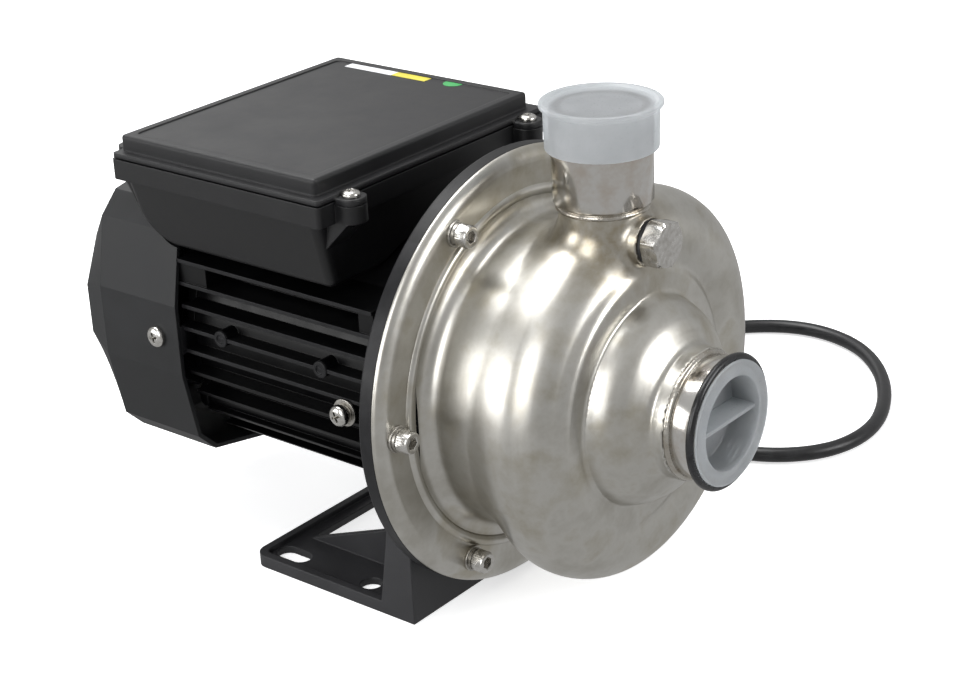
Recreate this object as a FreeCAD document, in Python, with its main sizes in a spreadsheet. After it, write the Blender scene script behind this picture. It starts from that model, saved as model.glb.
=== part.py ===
import FreeCAD, Part
import math
import os
import Sketcher
from FreeCAD import Vector

# Stainless end-suction pump with a finned single-phase motor, in millimetres.
# The pump frame has its origin on the shaft axis in the plane where the steel flange meets the
# bracket: -Y is the suction side, +Z is up. Every piece is then placed so that the part's own origin
# lies on the base plane, midway between the two front foot holes.

doc = FreeCAD.newDocument("pump")
sheet = doc.addObject("Spreadsheet::Sheet", "Sizes")


# Driving dimensions

DIMENSIONS = {
    "shaft_height": (105, "base plane to shaft axis"),
    "hole_setback": (47.5, "steel flange plane to the front foot holes"),
    "gap": (0.1, "clearance between pieces that fit"),
    "seat_gap": (0.3, "clearance between curved pieces of different bodies"),
    # pump casing
    "sheet_wall": (2, "pressed stainless sheet"),
    "flange_r": (100, "steel flange, outer"),
    "flange_lip": (6.5, "width of the turned-back lip"),
    "flange_rise": (4.5, "front of the flange band"),
    "bead_r": (80.5, "middle of the bead round the flange"),
    "bead_rise": (1.6, "bead above the band"),
    "drum_r": (70, "casing drum, outer"),
    "drum_fillet": (7.5, "drum to flange"),
    "volute_y": (44, "plane of the volute's middle"),
    "volute_tube_r": (24, "half width of the volute channel"),
    "volute_reach": (97, "largest radius of the volute"),
    "volute_top": (80, "radius of the volute under the discharge"),
    "ring_r": (57.5, "raised ring round the dome"),
    "ring_y": (68.4, "front of the raised ring"),
    "dome_r": (47.3, "foot of the dome"),
    "dome_y": (91, "where the dome meets the neck"),
    "neck_r": (29, "casing neck at the suction"),
    "neck_y": (97, "end of the casing neck"),
    # ports
    "suction_r": (26.8, "suction nipple, outer"),
    "suction_bore_r": (22.42, "suction thread, minor radius"),
    "suction_end": (111.5, "open end of the suction nipple"),
    "discharge_y": (48.5, "discharge axis in front of the flange plane"),
    "discharge_r": (21.5, "discharge nipple, outer"),
    "discharge_bore_r": (15.15, "discharge thread, minor radius"),
    "discharge_top": (127.9, "open end of the discharge nipple"),
    "discharge_foot": (85, "foot of the discharge nipple"),
    "collar_r": (19, "casing collar under the discharge nipple"),
    "cap_r": (26, "cap disc"),
    "cap_skirt_r": (24, "cap skirt, outer"),
    "cap_skirt_foot": (110.3, "lower edge of the cap skirt"),
    "cap_disc": (2.1, "cap disc thickness"),
    "cap_dish": (1, "depth of the cap's dish"),
    "plug_lip_r": (27.4, "suction plug lip"),
    "plug_lip": (1.5, "suction plug lip thickness"),
    "plug_cup_r": (22.0, "suction plug cup, outer"),
    "plug_hole_r": (20.5, "suction plug cup, inner"),
    "plug_depth": (14, "suction plug cup depth"),
    "plug_bar": (2, "suction plug cross bar thickness"),
    "ring_cord_r": (2, "loose ring, cord radius"),
    "ring_slack": (0.9, "loose ring, room round the nipple"),
    "ring_inset": (7.5, "loose ring behind the open end of the nipple"),
    "ring_tilt": (9, "loose ring, tilt in degrees"),
    "vent_z": (73, "vent plug above the shaft"),
    "vent_seat_y": (72, "vent boss face"),
    "vent_flats": (19, "vent plug across flats"),
    "vent_head": (8.4, "vent plug head height"),
    "vent_shank_r": (6.5, "vent plug shank"),
    "vent_shank": (9.5, "vent plug shank length"),
    "vent_washer_thickness": (1.5, "vent washer"),
    # flange screws
    "screw_count": (6, "flange screws"),
    "screw_circle_r": (89, "flange screw circle radius"),
    "screw_r": (3, "flange screw shank"),
    "screw_head_r": (5, "flange screw head"),
    "screw_head": (6, "flange screw head height"),
    "screw_reach": (8.5, "flange screw end behind the flange plane"),
    "flat_washer": (1.2, "flat washer thickness"),
    "flat_washer_r": (5.9, "flat washer, outer"),
    "spring_washer": (1.6, "spring washer thickness"),
    "spring_washer_r": (5.2, "spring washer, outer"),
    # seal and seal plate
    "plate_r": (80, "seal plate, outer"),
    "plate_wall": (2.5, "seal plate thickness"),
    "seat_r": (14.5, "seal seat, outer"),
    "seat_length": (5.5, "seal seat length"),
    "seal_face_r": (13, "rotating seal ring, outer"),
    # shaft line
    "shaft_r": (8, "shaft at the seal"),
    "stub_r": (6, "shaft at the impeller"),
    "bearing_bore_r": (8.5, "bearing bore"),
    "bearing_r": (20, "bearing, outer"),
    "bearing_width": (12, "bearing width"),
    "front_bearing_y": (16, "front bearing, front face"),
    "rear_bearing_y": (138, "rear bearing, front face"),
    "impeller_r": (60, "impeller, outer"),
    "impeller_back_y": (34, "impeller back plate"),
    "impeller_eye_r": (21, "impeller eye"),
    "blade_count": (6, "impeller blades"),
    "blade_width": (8, "impeller channel width"),
    "fan_r": (54, "fan, outer"),
    "fan_y": (190, "rear face of the fan plate"),
    "fan_blades": (8, "fan blades"),
    # motor
    "bracket_disc": (7, "bracket disc thickness"),
    "bracket_neck_r": (62, "bracket neck, outer"),
    "bracket_end": (29, "rear face of the bracket neck"),
    "frame_half": (63.5, "fin tips from the shaft axis, sideways"),
    "frame_foot": (66, "lowest fin tips below the shaft axis"),
    "frame_round": (60, "rounding of the fin tips at the bottom"),
    "frame_end": (148, "rear face of the motor frame"),
    "barrel_r": (56, "motor barrel, outer"),
    "stator_r": (51, "stator, outer"),
    "fin_pitch": (11.3, "fin spacing"),
    "fin_wall": (1.8, "fin thickness"),
    "fin_count": (9, "fins on each side"),
    "top_fin_z": (39.5, "uppermost fin"),
    "tie_x": (46, "tie rods from the axis, sideways"),
    "tie_z": (34.5, "tie rods above and below the axis"),
    "lug_length": (17, "lugs between the upper fins"),
    "earth_y": (48, "earth screw behind the flange"),
    "tie_r": (2.5, "tie rod"),
    "core_r": (32, "rotor core"),
    "air_gap": (0.5, "rotor to stator"),
    "core_front": (52, "laminated cores, front"),
    "core_rear": (112, "laminated cores, rear"),
    "cowl_half": (68, "fan cowl, axis to flat"),
    "cowl_narrow": (17.5, "fan cowl, half of the side flats"),
    "cowl_corner": (61.5, "fan cowl corner, long way"),
    "cowl_corner_short": (51.5, "fan cowl corner, short way"),
    "cowl_wall": (2.2, "fan cowl wall"),
    "cowl_bend": (199, "where the fan cowl starts to taper"),
    "cowl_end": (216, "fan cowl rear face"),
    "cowl_rear_r": (63, "fan cowl rear face, corners"),
    "cowl_screw_y": (162, "cowl screws"),
    # terminal box
    "box_x": (74.4, "box body, half width under the rim"),
    "box_foot_x": (63.7, "box body, half width at the underside"),
    "box_front": (46.5, "box body, front under the rim"),
    "box_foot_front": (49, "box body, front at the underside"),
    "box_rear": (166, "box body, rear"),
    "box_floor": (46, "box underside"),
    "box_round": (20, "rounding of the box, low at the rear"),
    "box_edge": (5, "rounding of the box edges"),
    "box_seal": (1.5, "gasket between box and barrel"),
    "rim_x": (78, "box rim, half width"),
    "rim_front": (41.5, "box rim, front"),
    "rim_rear": (168.5, "box rim, rear"),
    "rim_z": (79.9, "box rim underside"),
    "rim_corner": (2, "rounding of the rim's corners"),
    "box_top": (89.4, "box rim, top"),
    "box_wall": (2.8, "box wall"),
    "box_inner_x": (65, "box hollow, half width"),
    "lid_ledge": (2.1, "lid plate"),
    "lid_x": (73, "raised lid panel, half width"),
    "lid_front": (47.3, "raised lid panel, front"),
    "lid_rear": (166.4, "raised lid panel, rear"),
    "lid_top": (99.5, "lid, top"),
    "lid_seal": (0.6, "lid gasket"),
    "lid_dish": (0.5, "depth of the lid's sunk face"),
    "lid_border": (5, "border round the lid's sunk face"),
    "ear_r": (6.8, "screw ears, radius"),
    "ear_drop": (1.5, "ears below the rim's top"),
    "ear_depth": (14, "how far the ears taper down"),
    "lid_screw_x": (61, "lid screws, sideways"),
    "lid_screw_front": (38.2, "front lid screws"),
    "lid_screw_rear": (171.8, "rear lid screws"),
    # foot
    "foot_x": (68.7, "foot, half width"),
    "foot_front": (11, "foot, front"),
    "foot_rear": (110.5, "foot, rear"),
    "foot_floor": (3.5, "foot plate"),
    "foot_rim": (6, "foot rim height"),
    "foot_rim_wall": (4, "foot rim width"),
    "foot_block": (31, "rear of the foot block at the plate"),
    "foot_block_top": (22.5, "rear of the foot block at its top"),
    "foot_block_z": (52, "top of the foot block below the axis"),
    "foot_hole_x": (56, "foot holes, sideways"),
    "foot_hole_r": (5.2, "foot holes"),
    "foot_slot_y": (96, "middle of the rear foot slots"),
    "foot_slot_length": (19, "rear foot slots, end to end"),
    "window_x": (36, "foot window, half width"),
    "window_rear": (100.5, "foot window, rear edge"),
    "gusset_x": (38, "foot gussets"),
    "gusset_height": (30, "foot gusset height"),
    # cord
    "cord_r": (3.8, "cord radius"),
    "gland_z": (68.8, "gland above the shaft"),
    "gland_y": (125, "gland behind the flange"),
    "gland_thread_r": (8, "gland thread"),
    "gland_flats": (20, "gland across flats"),
    "gland_flange": (6.2, "gland flange thickness"),
    "gland_nut_flats": (19, "gland nut across flats"),
    "gland_nut_length": (16, "gland nut length"),
    "plug_r": (19, "mains plug, face radius"),
    "plug_length": (64, "mains plug, length"),
    "pin_r": (2.4, "plug pins"),
    "pin_length": (19, "plug pins, length"),
    "pin_place": (9.5, "plug pins from the plug's middle"),
    "gland_seat": (74, "flat face under the gland"),
}

for row, (alias, (value, note)) in enumerate(DIMENSIONS.items(), 1):
    sheet.set(f"A{row}", note)
    sheet.set(f"B{row}", str(value))
    sheet.setAlias(f"B{row}", alias)
doc.recompute()


class Size:
    """A length that keeps its value and the sheet expression that it comes from."""

    def __init__(self, value, text):
        self.value = float(value)
        self.text = text

    def join(self, other, sign, value):
        return Size(value, f"({self.text} {sign} {words(other)})")

    def __add__(self, other):
        return self.join(other, "+", self.value + float(other))

    def __sub__(self, other):
        return self.join(other, "-", self.value - float(other))

    def __mul__(self, other):
        return self.join(other, "*", self.value * float(other))

    def __truediv__(self, other):
        return self.join(other, "/", self.value / float(other))

    def __radd__(self, other):
        return Size(other, str(other)) + self

    def __rsub__(self, other):
        return Size(other, str(other)) - self

    def __rmul__(self, other):
        return self * other

    def __neg__(self):
        return Size(-self.value, f"(-1 * {self.text})")

    def __float__(self):
        return self.value


def words(value):
    return value.text if isinstance(value, Size) else f"({value})"


class Sizes:
    """Named access to the sheet's cells."""

    def __getattr__(self, alias):
        return Size(sheet.get(alias), f"Sizes.{alias}")


d = Sizes()


# Places

PUMP = (0, -d.hole_setback, d.shaft_height)
DISCHARGE = (0, -d.hole_setback - d.discharge_y, d.shaft_height)

PARTS = []


def bind(thing, prop, value):
    """Set a property to a size, by its expression where it has one."""
    if isinstance(value, Size):
        thing.setExpression(prop, value.text)
    elif "." not in prop:
        setattr(thing, prop, value)


def placed(thing, label, place=PUMP):
    """Name a sub-part, put it in its place and keep it for writing."""
    thing.Label = label
    thing.Placement = FreeCAD.Placement(Vector(*[float(c) for c in place]), thing.Placement.Rotation)
    for axis, value in zip("xyz", place):
        bind(thing, f"Placement.Base.{axis}", value)
    PARTS.append(thing)
    return thing


def shaped(label, shape, place=PUMP):
    """A sub-part made with the geometry kernel's own functions."""
    thing = doc.addObject("Part::Feature", label)
    thing.Shape = shape
    return placed(thing, label, place)


# Sketches

def new_body(label):
    body = doc.addObject("PartDesign::Body", label)
    body.AllowCompound = True
    return body


def origin_part(body, role):
    return next(part for part in body.Origin.OriginFeatures if part.Role == role)


def new_sketch(body, plane, offset=0, shift=(0, 0)):
    """A sketch on one of the body's own planes, moved along it and out of it."""
    sketch = body.newObject("Sketcher::SketchObject", body.Name + "_sketch")
    sketch.AttachmentSupport = [(origin_part(body, plane + "_Plane"), "")]
    sketch.MapMode = "FlatFace"
    moved = (shift[0], shift[1], offset)
    sketch.AttachmentOffset = FreeCAD.Placement(Vector(*[float(c) for c in moved]), FreeCAD.Rotation())
    for axis, value in zip("xyz", moved):
        bind(sketch, f"AttachmentOffset.Base.{axis}", value)
    return sketch


def constrain(sketch, kind, *rest):
    values = [float(part) if isinstance(part, Size) else part for part in rest]
    index = sketch.addConstraint(Sketcher.Constraint(kind, *values))
    if isinstance(rest[-1], Size):
        sketch.setExpression(f"Constraints[{index}]", rest[-1].text)


def pin(sketch, item, end, across, up):
    """Tie a point of the sketch to its two coordinates."""
    for kind, value, axis in (("DistanceX", across, -2), ("DistanceY", up, -1)):
        if isinstance(value, Size) or value != 0:
            constrain(sketch, kind, -1, 1, item, end, value if isinstance(value, Size) else float(value))
        else:
            constrain(sketch, "PointOnObject", item, end, axis)


def rounding(before, corner, after, radius):
    """The arc that rounds a corner, with its two ends."""
    back = (before - corner).normalize()
    ahead = (after - corner).normalize()
    half = back.getAngle(ahead) / 2
    first = corner + back * (radius / math.tan(half))
    last = corner + ahead * (radius / math.tan(half))
    centre = corner + (back + ahead).normalize() * (radius / math.sin(half))
    turn = (corner - first).cross(last - corner).z
    start, stop = (first, last) if turn > 0 else (last, first)
    angles = [math.atan2(p.y - centre.y, p.x - centre.x) for p in (start, stop)]
    if angles[1] < angles[0]:
        angles[1] += 2 * math.pi
    circle = Part.Circle(centre, Vector(0, 0, 1), radius)
    return Part.ArcOfCircle(circle, *angles), first, last, turn > 0


def outline(sketch, corners):
    """A closed outline. A corner is (across, up) or (across, up, rounding)."""
    points = [Vector(float(c[0]), float(c[1]), 0) for c in corners]
    count = len(points)
    rounds = {}
    for i, corner in enumerate(corners):
        if len(corner) == 3:
            rounds[i] = rounding(points[i - 1], points[i], points[(i + 1) % count], float(corner[2]))
    lines = []
    for i in range(count):
        after = (i + 1) % count
        start = rounds[i][2] if i in rounds else points[i]
        stop = rounds[after][1] if after in rounds else points[after]
        lines.append(sketch.addGeometry(Part.LineSegment(start, stop)))
    for i, corner in enumerate(corners):
        before, after = lines[i - 1], lines[i]
        if i not in rounds:
            constrain(sketch, "Coincident", before, 2, after, 1)
            pin(sketch, after, 1, corner[0], corner[1])
            continue
        arc, first, last, left = rounds[i]
        arc = sketch.addGeometry(arc)
        tip = sketch.addGeometry(Part.Point(points[i]), True)
        pin(sketch, tip, 1, corner[0], corner[1])
        constrain(sketch, "PointOnObject", tip, 1, before)
        constrain(sketch, "PointOnObject", tip, 1, after)
        constrain(sketch, "Tangent", before, 2, arc, 1 if left else 2)
        constrain(sketch, "Tangent", after, 1, arc, 2 if left else 1)
        constrain(sketch, "Radius", arc, corner[2] if isinstance(corner[2], Size) else float(corner[2]))


def circles(sketch, centres, radius):
    for across, up in centres:
        middle = Vector(float(across), float(up), 0)
        ring = sketch.addGeometry(Part.Circle(middle, Vector(0, 0, 1), float(radius)))
        pin(sketch, ring, 3, across, up)
        constrain(sketch, "Radius", ring, radius if isinstance(radius, Size) else float(radius))


# Features

def turn(body, corners, shift=0, plane="XY"):
    """Revolve a profile (radius, length) about the sketch's upright axis."""
    sketch = new_sketch(body, plane, shift=(shift, 0))
    outline(sketch, corners)
    feature = body.newObject("PartDesign::Revolution", body.Name + "_turned")
    feature.Profile = sketch
    feature.ReferenceAxis = (sketch, ["V_Axis"])
    feature.Angle = 360
    return feature


def extrude(body, kind, plane, draw, low, high):
    """Pad or pocket between two heights along the plane's axis (Z, Y or X)."""
    starts_high = (kind == "Pocket") != (plane == "XZ")
    start = high if starts_high else low
    sketch = new_sketch(body, plane, -start if plane == "XZ" else start)
    draw(sketch)
    feature = body.newObject("PartDesign::" + kind, body.Name + "_" + kind.lower())
    feature.Profile = sketch
    bind(feature, "Length", high - low)
    return feature


def pad(body, plane, corners, low, high):
    return extrude(body, "Pad", plane, lambda sketch: outline(sketch, corners), low, high)


def pad_round(body, plane, centres, radius, low, high):
    return extrude(body, "Pad", plane, lambda sketch: circles(sketch, centres, radius), low, high)


def cut(body, plane, corners, low, high):
    return extrude(body, "Pocket", plane, lambda sketch: outline(sketch, corners), low, high)


def bore(body, plane, centres, radius, low, high):
    return extrude(body, "Pocket", plane, lambda sketch: circles(sketch, centres, radius), low, high)


def around(body, features, count, role="Y_Axis"):
    """Repeat features evenly round an axis of the body."""
    pattern = body.newObject("PartDesign::PolarPattern", body.Name + "_round")
    pattern.Originals = features
    pattern.Axis = (origin_part(body, role), [""])
    pattern.Angle = 360
    bind(pattern, "Occurrences", count)
    body.Tip = pattern
    return pattern


def along(body, features, count, pitch, role="Z_Axis"):
    """Repeat features in a row, down the axis."""
    pattern = body.newObject("PartDesign::LinearPattern", body.Name + "_row")
    pattern.Originals = features
    pattern.Direction = (origin_part(body, role), [""])
    pattern.Reversed = True
    pattern.Mode = "Spacing"
    bind(pattern, "Offset", pitch)
    bind(pattern, "Occurrences", count)
    body.Tip = pattern
    return pattern


def soften(body, radius, wanted, kind="Fillet"):
    """Round or chamfer the edges of the newest shape that the test picks."""
    doc.recompute()
    previous = body.Tip
    names = [f"Edge{i}" for i, edge in enumerate(previous.Shape.Edges, 1) if wanted(edge)]
    feature = body.newObject("PartDesign::" + kind, body.Name + "_edges")
    feature.Base = (previous, names)
    bind(feature, "Radius" if kind == "Fillet" else "Size", radius)
    return feature


def turned(label, corners, place=PUMP, plane="XY"):
    """A sub-part that is one turned profile."""
    body = new_body(label)
    turn(body, corners, plane=plane)
    return placed(body, label, place)


def rectangle(left, low, right, high, corner=None):
    points = [(left, low), (right, low), (right, high), (left, high)]
    return points if corner is None else [point + (corner,) for point in points]


def frame_outline(half, top, foot, round_off):
    """The motor's section: flat on top, upright sides, rounded below."""
    return [(-half, top), (-half, -foot, round_off), (half, -foot, round_off), (half, top)]


# Casing

# Volute: how far it reaches at each angle round the shaft, as a share of its whole growth. The
# channel starts small on the left, swells under the drum and turns up into the discharge.
VOLUTE = [(165, 0.0), (205, 0.14), (240, 0.5), (272, 0.79), (310, 0.98), (355, 1.0), (402, 0.97)]


def spun(*steps):
    """A solid turned about the shaft axis. A step is a point (radius, length) or an arc
    (middle point, end point)."""
    edges = []
    here = start = None
    for step in steps:
        if isinstance(step[0], tuple):
            middle, end = [Vector(r, y, 0) for r, y in step]
            edges.append(Part.Arc(here, middle, end).toShape())
        else:
            end = Vector(step[0], step[1], 0)
            if here is not None:
                edges.append(Part.makeLine(here, end))
        start = start or end
        here = end
    edges.append(Part.makeLine(here, start))
    return Part.Face(Part.Wire(edges)).revolve(Vector(), Vector(0, 1, 0), 360)


def cylinder_y(radius, low, high, x=0, z=0):
    return Part.makeCylinder(radius, high - low, Vector(x, low, z), Vector(0, 1, 0))


def volute_channel(inset):
    """The swelling channel as a loft through round sections set about the shaft."""
    tube = float(d.volute_tube_r) - inset
    start = float(d.drum_r)
    growth = float(d.volute_reach) - start
    reaches = [(angle, start + growth * share) for angle, share in VOLUTE]
    reaches += [(430, float(d.volute_top) + 8.5), (452, float(d.volute_top))]
    sections = []
    for angle, reach in reaches:
        across = Vector(math.cos(math.radians(angle)), 0, math.sin(math.radians(angle)))
        middle = across * (reach - float(d.volute_tube_r)) - Vector(0, float(d.volute_y), 0)
        ring = Part.Circle(middle, across.cross(Vector(0, 1, 0)), tube)
        ring.XAxis = across
        sections.append(Part.Wire(ring.toShape()))
    return Part.makeLoft(sections, True, False)


def dome_form(inset):
    """The dome and neck that carry the suction nipple."""
    foot, top, neck = float(d.dome_r) - inset, -float(d.dome_y), float(d.neck_r) - inset
    ring = -float(d.ring_y) + inset
    rise = top - ring
    shoulder = (foot - 5, ring + 0.52 * rise + 0.5 * inset)
    waist = (neck + 5, ring + 0.84 * rise + 0.8 * inset)
    throat = (neck + 1.4, ring + 0.94 * rise + 0.9 * inset)
    end = -float(d.neck_y)
    return spun((0, ring + 8), (foot, ring + 8), (foot, ring), (foot - 0.8, ring - 2.4), (shoulder, waist),
                (throat, (neck, top - 2)), (neck, end + inset), (0, end + inset))


def discharge_form(inset):
    """The collar that rises from the volute to the discharge nipple, flared at its foot."""
    collar = float(d.collar_r) - inset
    foot = float(d.discharge_foot)
    flare = collar + 3.5
    profile = [(0, 50), (flare, 50), (flare, foot - 16)]
    edges = [Part.makeLine(Vector(a, 0, b), Vector(c, 0, e)) for (a, b), (c, e) in zip(profile, profile[1:])]
    bend = [Vector(flare, 0, foot - 16), Vector(collar + 0.8, 0, foot - 10), Vector(collar, 0, foot - 4)]
    edges.append(Part.Arc(*bend).toShape())
    edges.append(Part.makeLine(bend[2], Vector(collar, 0, foot + inset / 2)))
    edges.append(Part.makeLine(Vector(collar, 0, foot + inset / 2), Vector(0, 0, foot + inset / 2)))
    edges.append(Part.makeLine(Vector(0, 0, foot + inset / 2), Vector(0, 0, 50)))
    form = Part.Face(Part.Wire(edges)).revolve(Vector(), Vector(0, 0, 1), 360)
    form.translate(Vector(0, -float(d.discharge_y), 0))
    return form


def make_casing():
    wall = float(d.sheet_wall)
    outer, band, rise = float(d.flange_r), float(d.flange_r - d.flange_lip), float(d.flange_rise)
    bead, lift, drum, bend = float(d.bead_r), float(d.bead_rise), float(d.drum_r), float(d.drum_fillet)
    tube, middle = float(d.volute_tube_r), float(d.volute_y)
    slant = math.sqrt(0.5)
    lip_wide, lip_drop = outer - band, rise - 1
    lip_bend = (lip_wide ** 2 + lip_drop ** 2) / (2 * lip_drop)
    lip_turn = math.asin(lip_wide / lip_bend) / 2
    lip = (band + lip_bend * math.sin(lip_turn), -rise + lip_bend * (1 - math.cos(lip_turn)))
    corner = (drum + bend - bend * slant, -rise - bend + bend * slant)
    shoulder = (drum - tube + tube * slant, -middle - tube * slant)
    body = spun((0, 0), (outer, 0), (outer, -1), (lip, (band, -rise)), (bead + 2.5, -rise),
                ((bead, -rise - lift), (bead - 2.5, -rise)), (drum + bend, -rise),
                (corner, (drum, -rise - bend)), (drum, -middle), (shoulder, (drum - tube, -middle - tube)),
                (0, -middle - tube))
    ring = cylinder_y(float(d.ring_r), -float(d.ring_y), -middle - 12)
    boss = cylinder_y(10.5, -float(d.vent_seat_y), -middle - 6, z=float(d.vent_z))
    solid = body.fuse([volute_channel(0), ring, dome_form(0), discharge_form(0), boss])

    rear = drum - wall + 6
    inner_tube = tube - wall
    inner = (drum - tube + inner_tube * slant, -middle - inner_tube * slant)
    hollow = spun((0, 1), (rear, 1), (rear, -3.6), (drum - wall, -9.6), (drum - wall, -middle),
                  (inner, (drum - tube, -middle - inner_tube)), (0, -middle - inner_tube))
    ring = cylinder_y(float(d.ring_r) - wall, -float(d.ring_y) + wall, -middle)
    mouth = cylinder_y(float(d.suction_bore_r) + 1.6, -float(d.neck_y) - 1, -middle)
    vent_bore_r = float(d.vent_shank_r + d.seat_gap)
    vent = cylinder_y(vent_bore_r, -float(d.vent_seat_y) - 1, -middle, z=float(d.vent_z))
    hollow = hollow.fuse([volute_channel(wall), ring, dome_form(wall), discharge_form(wall), mouth, vent])
    casing = solid.cut(hollow)
    first = 180
    for i in range(int(float(d.screw_count))):
        turn_by = math.radians(first + i * 360 / float(d.screw_count))
        x, z = (float(d.screw_circle_r) * f for f in (math.cos(turn_by), math.sin(turn_by)))
        casing = casing.cut(cylinder_y(float(d.screw_r) + 0.3, -rise - 3, 1, x, z))
    return casing


shaped("pump_casing", make_casing())

turned("suction_nipple", [(d.suction_bore_r, -d.suction_end), (d.suction_r, -d.suction_end, 1),
                          (d.suction_r, -d.neck_y), (d.suction_bore_r, -d.neck_y)])
turned("discharge_nipple", [(d.discharge_bore_r, d.discharge_foot), (d.collar_r, d.discharge_foot),
                            (d.discharge_r, d.discharge_foot + 3), (d.discharge_r, d.discharge_top, 1),
                            (d.discharge_bore_r, d.discharge_top)], DISCHARGE, "XZ")

ring_path_r = d.suction_r + d.ring_cord_r + d.ring_slack
loose_ring = doc.addObject("Part::Torus", "suction_o_ring")
bind(loose_ring, "Radius1", ring_path_r)
bind(loose_ring, "Radius2", d.ring_cord_r)
tilt = FreeCAD.Rotation(Vector(0, 0, 1), float(d.ring_tilt)) * FreeCAD.Rotation(Vector(1, 0, 0), 90)
loose_ring.Placement = FreeCAD.Placement(Vector(), tilt)
placed(loose_ring, "suction_o_ring",
       (0, -d.hole_setback - d.suction_end + d.ring_inset, d.shaft_height - d.ring_slack * 0.6))


# Protective closures of the two ports

cap_top = d.discharge_top + d.cap_disc
cap_low = d.discharge_top
skirt_inner = d.discharge_r + d.seat_gap
turned("discharge_cap", [(0, cap_top - d.cap_dish), (d.cap_r - 3, cap_top - d.cap_dish),
                         (d.cap_r - 2, cap_top), (d.cap_r, cap_top), (d.cap_r, cap_top - 1.6),
                         (d.cap_skirt_r, cap_low - 1), (d.cap_skirt_r, d.cap_skirt_foot),
                         (skirt_inner, d.cap_skirt_foot), (skirt_inner, cap_low), (0, cap_low)],
       DISCHARGE, "XZ")

plug = new_body("suction_plug")
lip_front = -d.suction_end - d.plug_lip
cup_end = -d.suction_end + d.plug_depth
turn(plug, [(d.plug_hole_r, lip_front), (d.plug_lip_r, lip_front), (d.plug_lip_r, -d.suction_end),
            (d.plug_cup_r, -d.suction_end), (d.plug_cup_r, cup_end), (0, cup_end),
            (0, cup_end - d.plug_lip), (d.plug_hole_r, cup_end - d.plug_lip)])
bar_side = d.plug_hole_r + 0.5
bar_half = d.plug_bar / 2
pad(plug, "XZ", rectangle(-bar_side, -bar_half, bar_side, bar_half), lip_front + 2.5, cup_end - 1)
placed(plug, "suction_plug")


# Vent plug

vent_face = -d.vent_seat_y - d.vent_washer_thickness
VENT = (0, -d.hole_setback, d.shaft_height + d.vent_z)


def hexagon(flats):
    """A hexagon with corners to left and right."""
    half = flats / 2
    corner = flats * (0.5 / math.cos(math.pi / 6))
    quarter = corner / 2
    lower = [(-corner, 0), (-quarter, -half), (quarter, -half)]
    return lower + [(corner, 0), (quarter, half), (-quarter, half)]


vent = new_body("vent_plug")
pad(vent, "XZ", hexagon(d.vent_flats), vent_face - d.vent_head, vent_face)
vent_tip = vent_face + d.vent_washer_thickness + d.vent_shank
pad_round(vent, "XZ", [(0, 0)], d.vent_shank_r, vent_face, vent_tip)
placed(vent, "vent_plug", VENT)
turned("vent_washer", [(d.vent_shank_r + d.gap, vent_face), (d.vent_flats / 2, vent_face),
                       (d.vent_flats / 2, -d.vent_seat_y), (d.vent_shank_r + d.gap, -d.vent_seat_y)], VENT)


# Flange screws and washers

def on_flange(label, corners, socket=False):
    """A small turned piece repeated on the flange's screw circle."""
    body = new_body(label)
    features = [turn(body, corners, shift=-d.screw_circle_r)]
    if socket:
        wide = d.screw_head_r * 0.5
        key = [(-d.screw_circle_r + x, z) for x, z in hexagon(wide * 2)]
        features.append(cut(body, "XZ", key, head_front - 1, head_front + d.screw_head / 2))
    around(body, features, d.screw_count)
    return placed(body, label)


band_y = -d.flange_rise
spring_y = band_y - d.flat_washer
under_head = spring_y - d.spring_washer
head_front = under_head - d.screw_head
on_flange("casing_screws", [(0, head_front), (d.screw_head_r, head_front, 0.8), (d.screw_head_r, under_head),
                            (d.screw_r, under_head), (d.screw_r, d.screw_reach), (0, d.screw_reach)], True)
washer_hole = d.screw_r + d.gap
on_flange("casing_flat_washers", [(washer_hole, spring_y), (d.flat_washer_r, spring_y),
                                  (d.flat_washer_r, band_y), (washer_hole, band_y)])
on_flange("casing_spring_washers", [(washer_hole, under_head), (d.spring_washer_r, under_head),
                                    (d.spring_washer_r, spring_y), (washer_hole, spring_y)])


# Seal plate, casing ring and shaft seal

casing_ring = doc.addObject("Part::Torus", "casing_o_ring")
bind(casing_ring, "Radius1", d.drum_r - d.sheet_wall + 4.2)
bind(casing_ring, "Radius2", d.sheet_wall * 0.85)
casing_ring.Placement = FreeCAD.Placement(Vector(), FreeCAD.Rotation(Vector(1, 0, 0), 90))
placed(casing_ring, "casing_o_ring", (0, -d.hole_setback - d.sheet_wall * 0.9, d.shaft_height))

seat_front = 1.5
seat_rear = seat_front + d.seat_length
cup_r = d.seat_r + d.gap
turned("seal_plate", [(cup_r, 0), (d.plate_r, 0), (d.plate_r, d.plate_wall), (cup_r + 2.4, d.plate_wall),
                      (cup_r + 2.4, seat_rear + 2), (d.shaft_r + 2, seat_rear + 2),
                      (d.shaft_r + 2, seat_rear), (cup_r, seat_rear)])
turned("seal_seat", [(d.shaft_r + 1, seat_front), (d.seat_r, seat_front, 0.8), (d.seat_r, seat_rear),
                     (d.shaft_r + 1, seat_rear)])

on_shaft = d.shaft_r + d.gap / 2
face_front = -3.5
bellows_front = face_front - 10.5
turned("seal_face", [(on_shaft, face_front), (d.seal_face_r, face_front),
                     (d.seal_face_r, seat_front - d.gap), (on_shaft, seat_front - d.gap)])
bellows_r = on_shaft + 3
bellows_lip_r = on_shaft + 4.4
turned("seal_bellows", [(on_shaft, bellows_front), (bellows_r, bellows_front), (bellows_r, face_front - 3),
                        (bellows_lip_r, face_front - 2), (bellows_lip_r, face_front),
                        (on_shaft, face_front)])


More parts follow.
